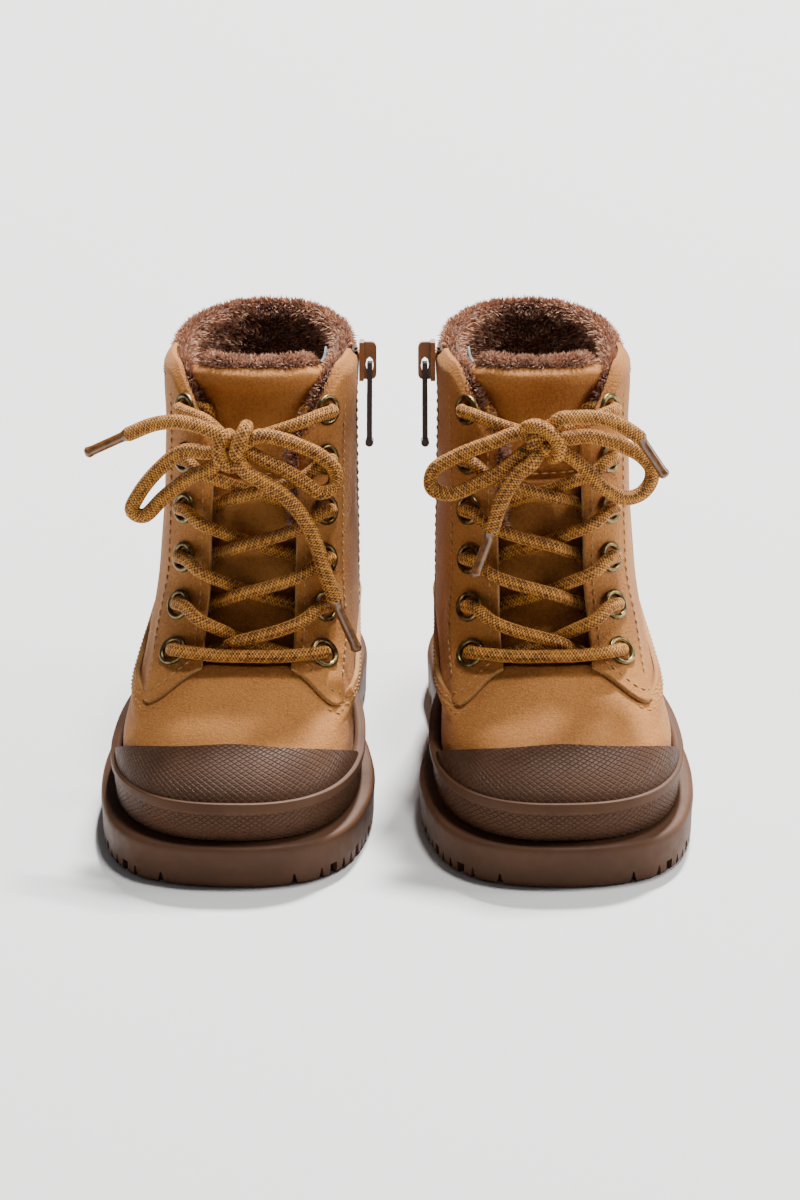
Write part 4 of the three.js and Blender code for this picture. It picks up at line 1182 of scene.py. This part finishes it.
def stitching(boot):
    for side, tag in ((-1, "lateral"), (1, "medial")):
        levels = np.linspace(6.95, 11.35, 60)
        stitches(f"facing_stitch_{tag}", boot, levels, side * (FACING_EDGE + 2.8),
                 tab_lift(levels, FACING_EDGE + 3) + 0.12)
        girths = np.linspace(FACING_EDGE + 3.4, 38, 40)
        levels = vamp_top(girths) + 0.12
        stitches(f"tab_stitch_{tag}", boot, levels, side * girths, tab_lift(levels, girths) + 0.12)
        levels = np.linspace(6.3, 12.35, 70)
        stitches(f"stay_stitch_{tag}", boot, levels, side * (EYELET_GIRTH + 9.6), tab_lift(levels, 34) + 0.4)
        girths = np.linspace(40, 100, 50)
        for k, drop in enumerate((0.16, 0.36)):
            levels = vamp_top(girths) - drop
            stitches(f"wing_stitch_{tag}_{k}", boot, levels, side * girths, vamp_lift(levels, girths) + 0.12)
        tips = np.linspace(29, 42, 24)
        for k, drop in enumerate((0.24, 0.46)):
            levels = vamp_top(35.9) - drop + 0.05 * np.abs(tips - 37)
            stitches(f"tip_stitch_{tag}_{k}", boot, levels, side * tips, vamp_lift(levels, tips) + 0.15)
    total = half_girth(COUNTER_TOP)
    for k, drop in enumerate((0.16, 0.36)):
        girths = np.linspace(WING_END + 1, 2 * total - WING_END - 1, 60)
        stitches(f"counter_stitch_{k}", boot, COUNTER_TOP - drop, girths, LIFT + 0.85)
    rear = half_girth(12.4) - 3
    for start, stop, tag in ((-40, -rear, "lateral"), (zip_girth(12.4) + 8, rear, "rear")):
        stitches(f"collar_stitch_{tag}", boot, 12.42, np.linspace(start, stop, 50), 0.75)
    for tag, low, high, line, aside in (("zip", ZIP_LOW + 0.15, 12.35, zip_girth, 6.6),
                                        ("rear", 6.7, 12.4, half_girth, 2.2)):
        levels = np.linspace(low, high, 60)
        for k, shift in enumerate((-aside, aside)):
            stitches(f"{tag}_stitch_{k}", boot, levels, line(levels) + shift, 0.2)


TOOTH_PITCH = 0.85
# a tooth's section across the chain: distance from its own middle, and height over the tape
TOOTH = np.array([(-1.15, -0.3), (-0.95, 0.3), (-0.3, 0.55), (0.5, 0.55), (1.05, 0.2), (1.15, -0.3)])


def zip_chain(boot):
    def where(a, b):
        level = lerp(ZIP_LOW - 0.1, COLLAR - 0.08, b)
        return level, zip_girth(level) + (2 * a - 1) * (ZIP_TAPE_HALF + 0.6)

    panel("zip_tape", boot, where, -0.75, -1.5, 12, 60, ["tape"], node="zip_chain")
    levels = np.linspace(ZIP_LOW, COLLAR - 0.1, 400)
    line, normals = at(levels, zip_girth(levels), -0.35), face_normal(levels, zip_girth(levels))
    run = lengths(line)
    points, faces = [], []
    for k in range(int(run[-1] / TOOTH_PITCH)):
        place = (k + 0.5) * TOOTH_PITCH
        centre = along_line(line, run, place)
        normal = along_line(normals, run, place)
        along = unit(along_line(line, run, place + 0.3) - centre)
        aside = np.cross(normal, along)
        centre = centre + aside * (0.75 if k % 2 else -0.75)
        thick = np.array([-0.33, 0.33])[:, None]
        points.append(centre + (aside * TOOTH[:, :1] + normal * TOOTH[:, 1:])[:, None] + along * thick)
        grid = numbered(len(TOOTH), 2, 2 * len(TOOTH) * k)
        faces += quads(grid) + [grid[:, 0].tolist(), grid[::-1, 1].tolist()]
    build("zip_teeth", boot, np.array(points), faces, ["teeth"])


def label(boot):
    """A small woven loop that is sewn inside the collar, on the medial side."""
    def where(a, b):
        return lerp(12, 12.72, b), lerp(42, 60, a)

    panel("label", boot, where, LINING_IN - 3, LINING_IN - 3.8, 16, 10, ["label"], 0.3)


# the CAD nodes that stay as they are, with a look and rounded edges
KEPT = {"zip_slider": ("enamel", 0.5), "zip_pull": ("pull", 0.3), "footbed": ("cloth", 0.8),
        "insole_board": ("board", 0.2)}

for boot in BOOTS:
    lacing(boot)
for boot in BOOTS:
    for make in (outsole, rand, toe_cap, vamp, heel_counter, quarters, tongue, lining, collar, tongue_plush,
                 eyelets, stitching, zip_chain, label):
        make(boot)
    for node, (look, width) in KEPT.items():
        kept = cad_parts[f"{boot}_{node}"]
        kept.data.materials.clear()
        kept.data.materials.append(LOOKS[look])
        bevel(kept, width, 30)

# ---- floor and light ----
FLOOR_HALF = 6.0
LAMP_WHITE = (1, 0.985, 0.965)

floor_mesh = bpy.data.meshes.new("floor")
corners = [(FLOOR_HALF * x, FLOOR_HALF * y, 0) for x, y in ((-1, -1), (1, -1), (1, 1), (-1, 1))]
floor_mesh.from_pydata(corners, [], [(0, 1, 2, 3)])
floor = linked("floor", floor_mesh)
pale, tree, shader = principled("floor", (0.74, 0.745, 0.75), 0.75)
fill(shader, {"Base Color": ramp(tree, spots(tree, 0.002, 2.0),
                                 [(0.3, (0.735, 0.74, 0.745)), (0.7, (0.75, 0.755, 0.76))])})
floor_mesh.materials.append(pale)
floor.location.z = -0.0002


def softbox(name, place, target, size, power, colour=LAMP_WHITE):
    data = bpy.data.lights.new(name, "AREA")
    data.shape = "RECTANGLE"
    data.size, data.size_y = size
    data.energy = power
    data.color = colour
    lamp = linked(name, data)
    lamp.location = place
    lamp.rotation_euler = (Vector(target) - Vector(place)).to_track_quat("-Z", "Y").to_euler()


softbox("key", (0.45, 2.2, 3.4), (0, 0, 0.05), (0.36, 0.36), 480)
softbox("top", (0.5, 0.3, 3.2), (0, 0, 0.05), (0.5, 0.5), 82)
softbox("right", (1.7, 0.15, 0.85), (0.05, 0.05, 0.08), (0.5, 0.9), 24, (1, 0.98, 0.95))

world = bpy.data.worlds.new("studio")
world.use_nodes = True
world.node_tree.nodes["Background"].inputs[0].default_value = (0.95, 0.97, 1, 1)
world.node_tree.nodes["Background"].inputs[1].default_value = 0.12
bpy.context.scene.world = world
